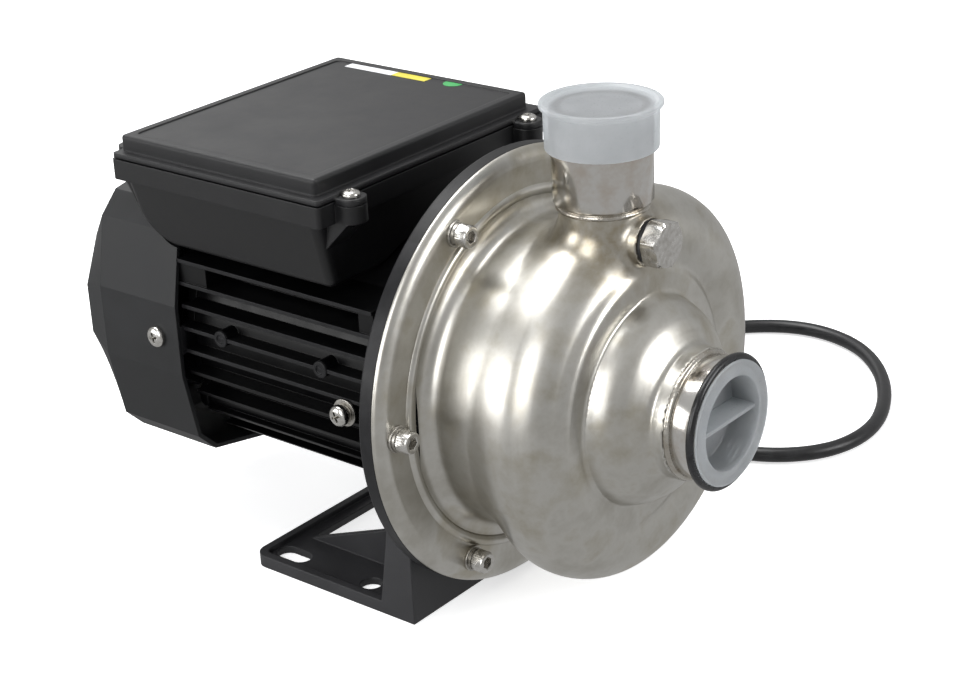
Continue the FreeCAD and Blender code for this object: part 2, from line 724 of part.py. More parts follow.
# The seal's coil spring as a ribbed sleeve, one rib to each coil, from the bellows to the impeller.
spring_rear = bellows_front
spring_front = -d.impeller_back_y
coils = 4
coil_pitch = (spring_rear - spring_front) / coils
spring_r = d.shaft_r + 1.7
ribs = [(spring_r, spring_rear), (spring_r, spring_front)]
for i in range(coils):
    valley = spring_front + coil_pitch * i
    ribs += [(spring_r + 0.7, valley), (spring_r + 1.8, valley + coil_pitch / 2, 0.8)]
ribs.append((spring_r + 0.7, spring_rear))
turned("seal_spring", ribs)


# Rotor

front_seat = d.front_bearing_y
rear_seat = d.rear_bearing_y
hub_front = -d.impeller_back_y - 14
shaft_rear = d.fan_y + 6
spindle_r = d.bearing_bore_r - d.gap / 2
turned("shaft", [(0, hub_front - 8), (4, hub_front - 8), (4, hub_front), (d.stub_r, hub_front),
                 (d.stub_r, -d.impeller_back_y), (d.shaft_r, -d.impeller_back_y), (d.shaft_r, front_seat),
                 (spindle_r, front_seat), (spindle_r, front_seat + d.bearing_width),
                 (11, front_seat + d.bearing_width), (11, rear_seat), (spindle_r, rear_seat),
                 (spindle_r, rear_seat + d.bearing_width), (7, rear_seat + d.bearing_width),
                 (7, shaft_rear), (0, shaft_rear)])


def make_impeller():
    """A closed impeller: back plate, swept blades, front shroud and eye skirt."""
    tip, eye, back = float(d.impeller_r), float(d.impeller_eye_r), -float(d.impeller_back_y)
    bore_r, hub = float(d.stub_r) + float(d.gap) / 2, float(d.stub_r) + 5
    sheet_t = 2
    front = back - sheet_t - float(d.blade_width)
    plate = spun((bore_r, back), (tip, back), (tip, back - sheet_t), (hub + 3, back - sheet_t),
                 (hub, back - 6), (hub, float(hub_front)), (bore_r, float(hub_front)))
    eye_out = eye + 1.5
    shroud = spun((tip, front), (tip, front - sheet_t), (eye_out + 2, front - sheet_t - 5),
                  (eye_out, front - sheet_t - 7), (eye_out, front - 19), (eye - 0.5, front - 19),
                  (eye - 0.5, front - 6), (eye + 2, front - 4))
    pieces = [plate, shroud]
    sweep, thick = math.radians(-58), 2.0
    count = int(float(d.blade_count))
    for i in range(count):
        begin = 2 * math.pi * i / count

        def at(radius, angle):
            turned_to = begin + angle
            return Vector(radius * math.cos(turned_to), back - sheet_t + 0.2, radius * math.sin(turned_to))

        root, end = eye + 1.5, tip - 0.3
        width = thick / root
        lead = Part.Arc(at(root, 0), at((root + end) / 2, sweep * 0.38), at(end, sweep)).toShape()
        trail = Part.Arc(at(end, sweep - thick / end * 1.6), at((root + end) / 2, sweep * 0.38 - thick / 40),
                         at(root, -width)).toShape()
        tip_edge = Part.makeLine(at(end, sweep), at(end, sweep - thick / end * 1.6))
        root_edge = Part.makeLine(at(root, -width), at(root, 0))
        blade = Part.Face(Part.Wire([lead, tip_edge, trail, root_edge]))
        pieces.append(blade.extrude(Vector(0, -float(d.blade_width) - 0.6, 0)))
    return pieces[0].fuse(pieces[1:]).removeSplitter()


shaped("impeller", make_impeller())

eye_skirt_r = d.impeller_eye_r + 1.5
sleeve_end = -d.neck_y + d.sheet_wall
sleeve_mouth = -d.impeller_back_y - 22
sleeve_flange_r = d.neck_r - d.sheet_wall - d.gap
sleeve_inner_r, sleeve_outer_r = eye_skirt_r + d.seat_gap, eye_skirt_r + 1.7
turned("wear_sleeve", [(sleeve_inner_r, sleeve_end), (sleeve_flange_r, sleeve_end),
                       (sleeve_flange_r, sleeve_end + 3), (sleeve_outer_r, sleeve_end + 6),
                       (sleeve_outer_r, sleeve_mouth), (sleeve_inner_r, sleeve_mouth)])

nut = new_body("impeller_nut")
nut_flats = 2 * d.stub_r + 1
pad(nut, "XZ", hexagon(nut_flats), hub_front - 6.5, hub_front)
bore(nut, "XZ", [(0, 0)], 4 + d.gap / 2, hub_front - 7.5, hub_front + 1)
placed(nut, "impeller_nut")

ring_split = (d.bearing_r - d.bearing_bore_r) / 3
ball_path_r = (d.bearing_r + d.bearing_bore_r) / 2
ball_r = ring_split * 0.72


def bearing_rings(label, inner_r, outer_r):
    """One ring of each of the two bearings, with its ball track."""
    body = new_body(label)
    for seat in (front_seat, rear_seat):
        turn(body, [(inner_r, seat), (outer_r, seat), (outer_r, seat + d.bearing_width),
                    (inner_r, seat + d.bearing_width)])
        track = body.newObject("Sketcher::SketchObject", label + "_track")
        track.AttachmentSupport = [(origin_part(body, "XY_Plane"), "")]
        track.MapMode = "FlatFace"
        circles(track, [(ball_path_r, seat + d.bearing_width / 2)], ball_r + d.gap / 2)
        groove = body.newObject("PartDesign::Groove", label + "_groove")
        groove.Profile = track
        groove.ReferenceAxis = (track, ["V_Axis"])
        groove.Angle = 360
    return placed(body, label)


bearing_rings("bearing_inner_rings", d.bearing_bore_r, d.bearing_bore_r + ring_split)
bearing_rings("bearing_outer_rings", d.bearing_r - ring_split, d.bearing_r)


def make_balls():
    balls = []
    for seat in (front_seat, rear_seat):
        for i in range(8):
            angle = 2 * math.pi * i / 8
            middle = Vector(float(ball_path_r) * math.cos(angle), float(seat + d.bearing_width / 2),
                            float(ball_path_r) * math.sin(angle))
            balls.append(Part.makeSphere(float(ball_r), middle))
    return Part.makeCompound(balls)


shaped("bearing_balls", make_balls())

turned("slinger", [(d.shaft_r + d.gap / 2, 11.6), (cup_r - 2, 11.6, 0.8), (cup_r - 2, 13.6),
                   (d.shaft_r + d.gap / 2, 13.6)])
turned("rotor_core", [(11 + d.gap / 2, d.core_front), (d.core_r, d.core_front), (d.core_r, d.core_rear),
                      (11 + d.gap / 2, d.core_rear)])

fan = new_body("fan")
fan_front = d.fan_y - 24
turn(fan, [(7 + d.gap / 2, fan_front), (12, fan_front), (12, d.fan_y - 2), (d.fan_r, d.fan_y - 2),
           (d.fan_r, d.fan_y), (7 + d.gap / 2, d.fan_y)])
vane = pad(fan, "XZ", rectangle(22, -0.9, d.fan_r - 0.5, 0.9), fan_front + 2, d.fan_y - 1)
around(fan, [vane], d.fan_blades)
placed(fan, "fan")
turned("fan_clip", [(7 + d.gap / 2, d.fan_y), (10.5, d.fan_y), (10.5, d.fan_y + 1.2),
                    (7 + d.gap / 2, d.fan_y + 1.2)])


# Motor

bracket = new_body("motor_bracket")
recess_r = d.plate_r + d.gap
housing_rear = front_seat + d.bearing_width
spigot_r = d.stator_r - d.gap
turn(bracket, [(cup_r + 3.4, d.plate_wall), (recess_r, d.plate_wall), (recess_r, 0), (d.flange_r, 0),
               (d.flange_r, d.bracket_disc, 1), (d.bracket_neck_r, d.bracket_disc, 2),
               (d.bracket_neck_r, d.bracket_end), (spigot_r, d.bracket_end), (spigot_r, d.bracket_end + 4),
               (d.stator_r - 5, d.bracket_end + 4), (d.stator_r - 5, 20), (d.bearing_r + 6, 20),
               (d.bearing_r + 6, housing_rear), (d.bearing_r + d.gap / 2, housing_rear),
               (d.bearing_r + d.gap / 2, front_seat), (d.shaft_r + 3, front_seat), (d.shaft_r + 3, 14),
               (cup_r + 3.4, 14)])
tapped = bore(bracket, "XZ", [(-d.screw_circle_r, 0)], d.screw_r + d.gap / 2, -1, d.bracket_disc + 1)
around(bracket, [tapped], d.screw_count)
TIE_PLACES = [(x * d.tie_x, z * d.tie_z) for x in (-1, 1) for z in (-1, 1)]
bore(bracket, "XZ", TIE_PLACES, d.tie_r + d.gap, d.bracket_end - 14, d.bracket_end + 1)
foot_screw_y = (d.foot_front + d.foot_block_top) / 2 + 1
bore(bracket, "XY", [(-20, foot_screw_y), (20, foot_screw_y)], 3 + d.gap / 2, -d.bracket_neck_r - 1, -50)
placed(bracket, "motor_bracket")

frame = new_body("motor_frame")
frame_top = d.top_fin_z + d.fin_wall / 2
section = frame_outline(d.frame_half, frame_top, d.frame_foot, d.frame_round)
pad(frame, "XZ", section, d.bracket_end, d.frame_end)
first_groove = rectangle(-d.cowl_half, d.top_fin_z - d.fin_pitch + d.fin_wall / 2, d.cowl_half,
                         d.top_fin_z - d.fin_wall / 2)
groove = cut(frame, "XZ", first_groove, d.bracket_end - 1, d.frame_end + 1)
along(frame, [groove], d.fin_count, d.fin_pitch)
pad_round(frame, "XZ", [(0, 0)], d.barrel_r, d.bracket_end, d.frame_end)
pad_round(frame, "XZ", TIE_PLACES, d.tie_r + 2.8, d.bracket_end, d.frame_end)
lug = (d.top_fin_z - d.fin_pitch, d.top_fin_z)
front_lug = (d.bracket_end, d.bracket_end + d.lug_length / 2)
rear_lug = (d.frame_end - d.lug_length, d.frame_end)
for low, high in (front_lug, rear_lug):
    for inner, outer in ((-d.frame_half + 1, -d.barrel_r + 4), (d.barrel_r - 4, d.frame_half - 1)):
        pad(frame, "XZ", rectangle(inner, lug[0], outer, lug[1]), low, high)
drain_y = 118
pad_round(frame, "XY", [(0, drain_y)], 7, -d.frame_foot - 1.5, -d.barrel_r)
boss_z = d.top_fin_z - 3 * d.fin_pitch
pad_round(frame, "YZ", [(62, boss_z), (124, boss_z)], 4, -d.frame_half + 0.3, d.frame_half - 0.3)
earth_z = boss_z - 1.5 * d.fin_pitch
earth_seat = d.frame_half + d.seat_gap
pad_round(frame, "YZ", [(d.earth_y, earth_z)], 5, -earth_seat, 0)
bore(frame, "XZ", [(0, 0)], d.stator_r, d.bracket_end - 1, d.frame_end + 1)
bore(frame, "XZ", TIE_PLACES, d.tie_r + d.gap, d.bracket_end - 1, d.frame_end + 1)
bore(frame, "YZ", [(d.earth_y, earth_z)], 2 + d.gap / 2, -earth_seat - 1, -earth_seat + 8)
placed(frame, "motor_frame")

turned("stator_core", [(d.core_r + d.air_gap, d.core_front), (d.stator_r - d.gap / 2, d.core_front),
                       (d.stator_r - d.gap / 2, d.core_rear), (d.core_r + d.air_gap, d.core_rear)])
winding = new_body("stator_winding")
for low, high in ((d.core_front - 15, d.core_front), (d.core_rear, d.core_rear + 15)):
    turn(winding, [(d.core_r + 3, low, 4), (d.stator_r - 3, low, 4), (d.stator_r - 3, high),
                   (d.core_r + 3, high)])
placed(winding, "stator_winding")

shield = new_body("rear_end_shield")
pocket_end = rear_seat + d.bearing_width
turn(shield, [(d.shaft_r + 2, pocket_end), (d.bearing_r + d.gap / 2, pocket_end),
              (d.bearing_r + d.gap / 2, rear_seat), (d.bearing_r + 5, rear_seat),
              (d.bearing_r + 5, d.frame_end), (d.stator_r - 4, d.frame_end),
              (d.stator_r - 4, d.frame_end - 4), (spigot_r, d.frame_end - 4),
              (spigot_r, d.frame_end), (d.barrel_r + 1, d.frame_end),
              (d.barrel_r + 1, d.frame_end + 5), (d.shaft_r + 2, d.frame_end + 5)])
shield_rear = d.frame_end + 5
pad_round(shield, "XZ", TIE_PLACES, d.tie_r + 5, d.frame_end, shield_rear)
tab_outer = d.cowl_half - d.cowl_wall - d.gap
tab_inner = d.fan_r + 2
tab_root = d.barrel_r - 3
tab_rear = d.cowl_screw_y + 6
for inner, rear in ((tab_root, shield_rear), (tab_inner, tab_rear)):
    pad(shield, "XZ", rectangle(-tab_outer, -7, -inner, 7), d.frame_end, rear)
    pad(shield, "XZ", rectangle(inner, -7, tab_outer, 7), d.frame_end, rear)
    pad(shield, "XZ", rectangle(-7, -tab_outer, 7, -inner), d.frame_end, rear)
bore(shield, "XZ", TIE_PLACES, d.tie_r + d.gap, d.frame_end - 1, shield_rear + 1)
bore(shield, "YZ", [(d.cowl_screw_y, 0)], 1.9 + d.gap / 2, -tab_outer - 1, tab_outer + 1)
bore(shield, "XY", [(0, d.cowl_screw_y)], 1.9 + d.gap / 2, -tab_outer - 1, -tab_inner + 1)
placed(shield, "rear_end_shield")

rods = new_body("tie_rods")
pad_round(rods, "XZ", TIE_PLACES, d.tie_r, d.bracket_end - 13, shield_rear)
pad_round(rods, "XZ", TIE_PLACES, d.tie_r * 1.8, shield_rear, shield_rear + 3.5)
placed(rods, "tie_rods")


def mirrored_round(corners):
    """An outline of sixteen corners from the four of its first quarter."""
    points = []
    for x_sign, z_sign in ((1, 1), (-1, 1), (-1, -1), (1, -1)):
        quarter = corners if x_sign == z_sign else corners[::-1]
        points += [(x * x_sign, z * z_sign) for x, z in quarter]
    return points


def cowl_section(inset=0):
    """The cowl's sixteen-sided outline, a little squared."""
    wide, narrow = d.cowl_half - inset, d.cowl_narrow - inset * 0.2
    far, near = d.cowl_corner - inset * 0.85, d.cowl_corner_short - inset * 0.55
    return mirrored_round([(wide, narrow), (far, near), (near, far), (narrow, wide)])


def cowl_rear(inset=0):
    """The even sixteen-sided outline of the cowl's rear face."""
    corners = []
    for i in range(4):
        angle = math.radians(11.25 + 22.5 * i)
        reach = d.cowl_rear_r - inset
        corners.append((reach * math.cos(angle), reach * math.sin(angle)))
    return mirrored_round(corners)


def taper(body, kind, near, near_place, far, far_place):
    """Add or take away the straight-sided form between two outlines across the shaft."""
    sketches = []
    for corners, place in ((near, near_place), (far, far_place)):
        sketch = new_sketch(body, "XZ", -place)
        outline(sketch, corners)
        sketches.append(sketch)
    feature = body.newObject("PartDesign::" + kind + "Loft", body.Name + "_taper")
    feature.Profile = sketches[0]
    feature.Sections = sketches[1:]
    feature.Ruled = True
    return feature


cowl = new_body("fan_cowl")
pad(cowl, "XZ", cowl_section(), d.frame_end, d.cowl_bend)
taper(cowl, "Additive", cowl_section(), d.cowl_bend, cowl_rear(), d.cowl_end)
cut(cowl, "XZ", cowl_section(d.cowl_wall), d.frame_end - 1, d.cowl_bend)
taper(cowl, "Subtractive", cowl_section(d.cowl_wall), d.cowl_bend, cowl_rear(d.cowl_wall * 0.8),
      d.cowl_end - d.cowl_wall)
notch_x = d.rim_x
notch_gap = 0.6
notch_floor, notch_rear = d.box_floor - notch_gap, d.box_rear + notch_gap
notch = [(d.frame_end - 1, notch_floor), (notch_rear, notch_floor, d.box_round), (notch_rear, d.rim_z),
         (d.frame_end - 1, d.rim_z)]
cut(cowl, "YZ", notch, -notch_x, notch_x)
bore(cowl, "YZ", [(d.cowl_screw_y, 0)], 1.9 + 0.3, -d.cowl_half - 1, d.cowl_half + 1)
bore(cowl, "XY", [(0, d.cowl_screw_y)], 1.9 + 0.3, -d.cowl_half - 1, -d.cowl_corner_short)
for inner, outer, count in ((14, 30, 12), (34, 56, 24)):
    slot = cut(cowl, "XZ", rectangle(inner, -1.9, outer, 1.9), d.cowl_end - d.cowl_wall - 1, d.cowl_end + 1)
    around(cowl, [slot], count)
placed(cowl, "fan_cowl")


def screw(head_r, head, shank_r, length, chamfer=0.8):
    """A pan-head screw about its own axis, head up, shank from zero downwards."""
    profile = [(0, -length), (shank_r, -length), (shank_r, 0), (head_r, 0), (head_r, head - chamfer),
               (head_r - 1.2 * chamfer, head), (0, head)]
    edges = [Part.makeLine(Vector(a, 0, b), Vector(c, 0, e))
             for (a, b), (c, e) in zip(profile, profile[1:] + profile[:1])]
    return Part.Face(Part.Wire(edges)).revolve(Vector(), Vector(0, 0, 1), 360)


def stood(shape, place, direction):
    """A piece that was made upright, turned to point along a direction and set in place."""
    made = shape.copy()
    made.Placement = FreeCAD.Placement(Vector(*[float(c) for c in place]),
                                       FreeCAD.Rotation(Vector(0, 0, 1), Vector(*direction)))
    return made


half = d.cowl_half
cowl_screw = screw(5.2, 3.2, 1.9, 11)
shaped("cowl_screws", Part.makeCompound([
    stood(cowl_screw, (-half, d.cowl_screw_y, 0), (-1, 0, 0)),
    stood(cowl_screw, (half, d.cowl_screw_y, 0), (1, 0, 0)),
    stood(cowl_screw, (0, d.cowl_screw_y, -half), (0, 0, -1))]))

washers_out = -earth_seat - 3.4
shaped("earth_screw", Part.makeCompound([
    stood(screw(5, 3.6, 2, 10.5), (washers_out, d.earth_y, earth_z), (-1, 0, 0))]))
washers = new_body("earth_washers")
for radius, low, high in ((6.4, -earth_seat - 1.4, -earth_seat), (4.6, washers_out, -earth_seat - 1.8)):
    pad_round(washers, "YZ", [(d.earth_y, earth_z)], radius, low, high)
pad_round(washers, "YZ", [(d.earth_y, earth_z)], 4.0, -earth_seat - 1.8, -earth_seat - 1.4)
bore(washers, "YZ", [(d.earth_y, earth_z)], 2 + d.gap, washers_out - 1, -earth_seat + 1)
placed(washers, "earth_washers")


# Foot

foot = new_body("foot")
base = -d.shaft_height
plate_top = base + d.foot_floor
pad(foot, "XY", rectangle(-d.foot_x, d.foot_front, d.foot_x, d.foot_rear, 7), base, base + d.foot_rim)
tray_x, tray_rear = d.foot_x - d.foot_rim_wall, d.foot_rear - d.foot_rim_wall
cut(foot, "XY", rectangle(-tray_x, d.foot_block, tray_x, tray_rear, 4), plate_top, base + d.foot_rim + 1)
cut(foot, "XY", rectangle(-d.window_x, d.foot_block, d.window_x, d.window_rear, 3), base - 1, plate_top + 1)
block = [(d.foot_front, base), (d.foot_block, base), (d.foot_block_top, -d.foot_block_z),
         (d.foot_front, -d.foot_block_z)]
pad(foot, "YZ", block, -d.foot_x, d.foot_x)
for side in (-1, 1):
    inner_edge = d.gusset_x - 1.5
    outer_edge = d.gusset_x + 1.5
    low, high = (inner_edge, outer_edge) if side > 0 else (-outer_edge, -inner_edge)
    pad(foot, "YZ", [(d.foot_block_top, plate_top), (d.window_rear, plate_top),
                     (d.foot_block_top, plate_top + d.gusset_height)], low, high)
bore(foot, "XZ", [(0, 0)], d.bracket_neck_r + d.gap, 0, d.foot_block)
bore(foot, "XY", [(-d.foot_hole_x, d.hole_setback), (d.foot_hole_x, d.hole_setback)], d.foot_hole_r,
     base - 1, base + d.foot_rim)
slot_half = d.foot_slot_length / 2
for side in (-1, 1):
    middle = d.foot_hole_x * side
    cut(foot, "XY", [(middle - d.foot_hole_r, d.foot_slot_y - slot_half, d.foot_hole_r * 0.98),
                     (middle + d.foot_hole_r, d.foot_slot_y - slot_half, d.foot_hole_r * 0.98),
                     (middle + d.foot_hole_r, d.foot_slot_y + slot_half, d.foot_hole_r * 0.98),
                     (middle - d.foot_hole_r, d.foot_slot_y + slot_half, d.foot_hole_r * 0.98)],
        base - 1, base + d.foot_rim)
foot_screw_head = base + 25
bore(foot, "XY", [(-20, foot_screw_y), (20, foot_screw_y)], 6, base - 1, foot_screw_head)
bore(foot, "XY", [(-20, foot_screw_y), (20, foot_screw_y)], 3.2, base, -50)
placed(foot, "foot")

foot_screw = screw(5, 5, 3, 28)
shaped("foot_screws", Part.makeCompound([
    stood(foot_screw, (x, foot_screw_y, foot_screw_head), (0, 0, -1)) for x in (-20, 20)]))


# Terminal box

LID_SCREWS = [(x * d.lid_screw_x, y) for x in (-1, 1) for y in (d.lid_screw_front, d.lid_screw_rear)]
cradle_r = d.barrel_r + d.box_seal
hollow_floor = cradle_r + d.box_wall
box_mouth = d.rim_z + 1
lid_under = d.box_top + d.lid_seal
ear_top = d.box_top - d.ear_drop
ear_face = lid_under + 0.8
box = new_body("terminal_box_base")
pad(box, "YZ", [(d.box_foot_front, d.box_floor, d.box_edge + 1), (d.box_rear, d.box_floor, d.box_round),
                (d.box_rear, box_mouth), (d.box_front, box_mouth)], -d.box_x, d.box_x)
for side in (-1, 1):
    beyond = side * (d.box_x + 1)
    wedge = [(side * d.box_foot_x, d.box_floor), (side * d.box_x, box_mouth), (beyond, box_mouth),
             (beyond, d.box_floor - 1), (side * d.box_foot_x, d.box_floor - 1)]
    cut(box, "XZ", wedge if side > 0 else wedge[::-1], d.box_front - 1, d.box_rear + 1)


def on_box_side(edge):
    bounds = edge.BoundBox
    nearest = min(abs(bounds.XMin), abs(bounds.XMax))
    one_side = bounds.XMin * bounds.XMax > 0
    return one_side and nearest > float(d.box_foot_x) - 1 and bounds.ZMin < float(d.rim_z)


soften(box, d.box_edge, on_box_side)
pad(box, "XY", rectangle(-d.rim_x, d.rim_front, d.rim_x, d.rim_rear, d.rim_corner), d.rim_z, d.box_top)
pad_round(box, "XY", LID_SCREWS, d.ear_r, d.rim_z, ear_top)
for side in (-1, 1):
    left, right = side * d.lid_screw_x - d.ear_r, side * d.lid_screw_x + d.ear_r
    front_ear = [(d.lid_screw_front - 3, d.rim_z), (d.box_foot_front, d.rim_z - d.ear_depth),
                 (d.box_foot_front + 3, d.rim_z - d.ear_depth), (d.box_foot_front + 3, ear_top),
                 (d.lid_screw_front, ear_top), (d.lid_screw_front, d.rim_z)]
    pad(box, "YZ", front_ear, left, right)
    rear_ear = [(d.box_rear - 3, d.rim_z - d.ear_depth), (d.box_rear, d.rim_z - d.ear_depth),
                (d.lid_screw_rear + 3, d.rim_z), (d.lid_screw_rear, d.rim_z), (d.lid_screw_rear, ear_top),
                (d.box_rear - 3, ear_top)]
    pad(box, "YZ", rear_ear, left, right)
pad_round(box, "YZ", [(d.gland_y, d.gland_z)], d.gland_thread_r + 2.7, d.box_inner_x, d.gland_seat)
inner_front, inner_rear = d.box_foot_front + d.box_wall, d.box_rear - d.box_wall
cut(box, "YZ", [(inner_front, hollow_floor, 2), (inner_rear, hollow_floor, 4), (inner_rear, d.box_top + 1),
                (inner_front, d.box_top + 1)], -d.box_inner_x, d.box_inner_x)
bore(box, "XZ", [(0, 0)], cradle_r, d.rim_front - 1, d.box_rear + 1)
bore(box, "XY", LID_SCREWS, 2 + d.gap / 2, d.rim_z - 3, d.box_top + 1)
bore(box, "YZ", [(d.gland_y, d.gland_z)], d.gland_thread_r + d.gap, d.box_inner_x - 1, d.gland_seat + 1)
bore(box, "XY", [(0, 100)], 9, cradle_r - 4, hollow_floor + 1)
placed(box, "terminal_box_base")

box_gasket = new_body("box_gasket")
seal_inner, seal_outer = d.barrel_r + d.gap / 2, cradle_r - d.gap / 2
turn(box_gasket, [(seal_inner, 58), (seal_outer, 58), (seal_outer, 144), (seal_inner, 144)])
cut(box_gasket, "XY", rectangle(-cradle_r - 1, 57, cradle_r + 1, 145), -cradle_r - 1, d.box_floor + 1)
cut(box_gasket, "XY", rectangle(-24, 66, 24, 136, 4), d.box_floor, cradle_r + 1)
placed(box_gasket, "box_gasket")

hollow = rectangle(-d.box_inner_x, inner_front, d.box_inner_x, inner_rear, 2)
lid_gasket = new_body("lid_gasket")
pad(lid_gasket, "XY", rectangle(-d.box_inner_x - 5, inner_front - 5, d.box_inner_x + 5, inner_rear + 2.5, 3),
    d.box_top, lid_under)
cut(lid_gasket, "XY", hollow, d.box_top - 1, lid_under + 1)
placed(lid_gasket, "lid_gasket")

lid = new_body("terminal_box_lid")
lid_plate = lid_under + d.lid_ledge
pad(lid, "XY", rectangle(-d.rim_x + 0.4, d.rim_front + 0.4, d.rim_x - 0.4, d.rim_rear - 0.4, d.rim_corner),
    lid_under, lid_plate)
pad(lid, "XY", rectangle(-d.lid_x, d.lid_front, d.lid_x, d.lid_rear, d.rim_corner), lid_under + 1, d.lid_top)
lid_face = float(d.lid_top)
soften(lid, 1.5, lambda edge: edge.BoundBox.ZMin > lid_face - 0.01)
sunk_x = d.lid_x - d.lid_border
cut(lid, "XY", rectangle(-sunk_x, d.lid_front + d.lid_border, sunk_x, d.lid_rear - d.lid_border, 3),
    d.lid_top - d.lid_dish, d.lid_top + 1)
lid_ear_r = d.ear_r - 0.4
ear_bend = 5.5
for side in (-1, 1):
    left, right = side * d.lid_screw_x - lid_ear_r, side * d.lid_screw_x + lid_ear_r
    for low, reach in ((ear_top + d.gap, -d.gap), (lid_under, 2)):
        front_tip, front_root = d.lid_screw_front - lid_ear_r, d.rim_front + reach
        rear_root, rear_tip = d.rim_rear - reach, d.lid_screw_rear + lid_ear_r
        front_ear = [(left, front_tip, ear_bend), (right, front_tip, ear_bend), (right, front_root),
                     (left, front_root)]
        rear_ear = [(left, rear_root), (right, rear_root), (right, rear_tip, ear_bend),
                    (left, rear_tip, ear_bend)]
        pad(lid, "XY", front_ear, low, ear_face)
        pad(lid, "XY", rear_ear, low, ear_face)
cut(lid, "XY", hollow, lid_under - 1, d.lid_top - d.box_wall)
bore(lid, "XY", LID_SCREWS, 2.3, ear_top - 1, lid_plate + 1)
bore(lid, "XY", LID_SCREWS, 4.9, ear_face, lid_plate + 1)
placed(lid, "terminal_box_lid")

shaped("lid_screws", Part.makeCompound([
    stood(screw(4.2, 2.6, 2, 13), (x, y, ear_face), (0, 0, 1)) for x, y in LID_SCREWS]))

capacitor_r = 15
capacitor_z = hollow_floor + capacitor_r + 1.2
capacitor = new_body("capacitor")
pad_round(capacitor, "YZ", [(140, capacitor_z)], capacitor_r, -48, 22)
placed(capacitor, "capacitor")
clip = new_body("capacitor_clip")
pad_round(clip, "YZ", [(140, capacitor_z)], capacitor_r + 1.2, -20, -8)
bore(clip, "YZ", [(140, capacitor_z)], capacitor_r + d.gap / 2, -21, -7)
placed(clip, "capacitor_clip")
block_low = hollow_floor
terminals = new_body("terminal_block")
pad(terminals, "XY", rectangle(14, 66, 56, 88, 1.5), block_low, block_low + 14)
wells = cut(terminals, "XY", rectangle(18, 70, 24, 84), block_low + 8, block_low + 15)
along(terminals, [wells], 4, 9.5, "X_Axis").Reversed = False
placed(terminals, "terminal_block")


# Cord outlet, cord and plug

gland_inner = d.box_inner_x - 3
GLAND = [(d.gland_y, d.gland_z)]
gland_face = d.gland_seat + d.gland_flange
neck_r = d.gland_thread_r - 0.6
neck_end = gland_face + 6


def gland_hexagon(flats):
    return [(d.gland_y + across, d.gland_z + up) for across, up in hexagon(flats)]


gland = new_body("cable_gland")
pad_round(gland, "YZ", GLAND, d.gland_thread_r, gland_inner, d.gland_seat)
pad(gland, "YZ", gland_hexagon(d.gland_flats), d.gland_seat, gland_face)
pad_round(gland, "YZ", GLAND, neck_r, gland_face, neck_end)
bore(gland, "YZ", GLAND, d.cord_r + d.gap, gland_inner - 1, neck_end + 1)
placed(gland, "cable_gland")
nut_end = gland_face + d.gland_nut_length
hexagon_end = gland_face + d.gland_nut_length / 2
gland_nut = new_body("gland_nut")
pad(gland_nut, "YZ", gland_hexagon(d.gland_nut_flats), gland_face, hexagon_end)
pad_round(gland_nut, "YZ", GLAND, d.gland_thread_r, hexagon_end - 1, nut_end)
bore(gland_nut, "YZ", GLAND, neck_r + d.gap, gland_face - 1, neck_end)
bore(gland_nut, "YZ", GLAND, d.cord_r + d.gap, gland_face, nut_end + 1)
placed(gland_nut, "gland_nut")

# Cord route in the part's own frame: out of the gland, down to the floor beside the motor, forward,
# round in the loose loop at the suction side, and back to the coil behind the motor.
CORD_END_Z = float(d.cord_r) + 0.2
CORD_ROUTE = [
    (96, 77.5, 173.8), (110, 77.5, 172.5), (122.5, 77, 164), (131, 76, 148), (135, 74, 126), (137, 72, 101),
    (137, 70, 76), (136, 66, 52), (135, 57, 29), (135, 41, 12), (136, 18, 5), (139, -9, CORD_END_Z),
    (143, -36, CORD_END_Z), (148, -62, CORD_END_Z), (158, -88, CORD_END_Z), (180, -107, CORD_END_Z),
    (211, -111, CORD_END_Z), (244, -100, CORD_END_Z), (278, -78, CORD_END_Z), (302, -49, CORD_END_Z),
    (308, -14, CORD_END_Z), (292, 16, CORD_END_Z), (264, 37, CORD_END_Z), (235, 58, CORD_END_Z),
    (211, 85, CORD_END_Z), (199, 118, CORD_END_Z), (193, 150, CORD_END_Z), (191, 178, CORD_END_Z),
]
COIL_MIDDLE = (149, 190)
COIL_R = 42


def rounded_route(points):
    """Straight runs joined by the largest tangent arcs that both runs allow."""
    points = [Vector(*p) for p in points]
    edges = []
    here = points[0]
    for before, corner, after in zip(points, points[1:], points[2:]):
        back, ahead = (before - corner), (after - corner)
        shorter = min(back.Length, ahead.Length)
        back.normalize()
        ahead.normalize()
        half = (math.pi - back.getAngle(ahead)) / 2
        radius = 0.45 * shorter / math.tan(half)
        reach = radius * math.tan(half)
        first, last = corner + back * reach, corner + ahead * reach
        inward = (back + ahead).normalize()
        middle = corner + inward * (radius / math.cos(half) - radius)
        if (first - here).Length > 1e-6:
            edges.append(Part.LineSegment(here, first).toShape())
        edges.append(Part.Arc(first, middle, last).toShape())
        here = last
    edges.append(Part.LineSegment(here, points[-1]).toShape())
    return Part.Wire(edges)


route = rounded_route(CORD_ROUTE)
aim = Vector(*CORD_ROUTE[1]) - Vector(*CORD_ROUTE[0])
mouth = Part.Wire(Part.makeCircle(float(d.cord_r), Vector(*CORD_ROUTE[0]), aim))
tube = route.makePipeShell([mouth], True, False)
shaped("power_cord", tube, (0, 0, 0))

coil = new_body("cord_coil")
width = d.cord_r * 2.1
turn(coil, [(COIL_R - width, 0, 3), (COIL_R + width, 0, 3), (COIL_R + width, d.cord_r * 4, 3),
            (COIL_R - width, d.cord_r * 4, 3)], plane="XZ")
placed(coil, "cord_coil", (COIL_MIDDLE[0], COIL_MIDDLE[1], 0))

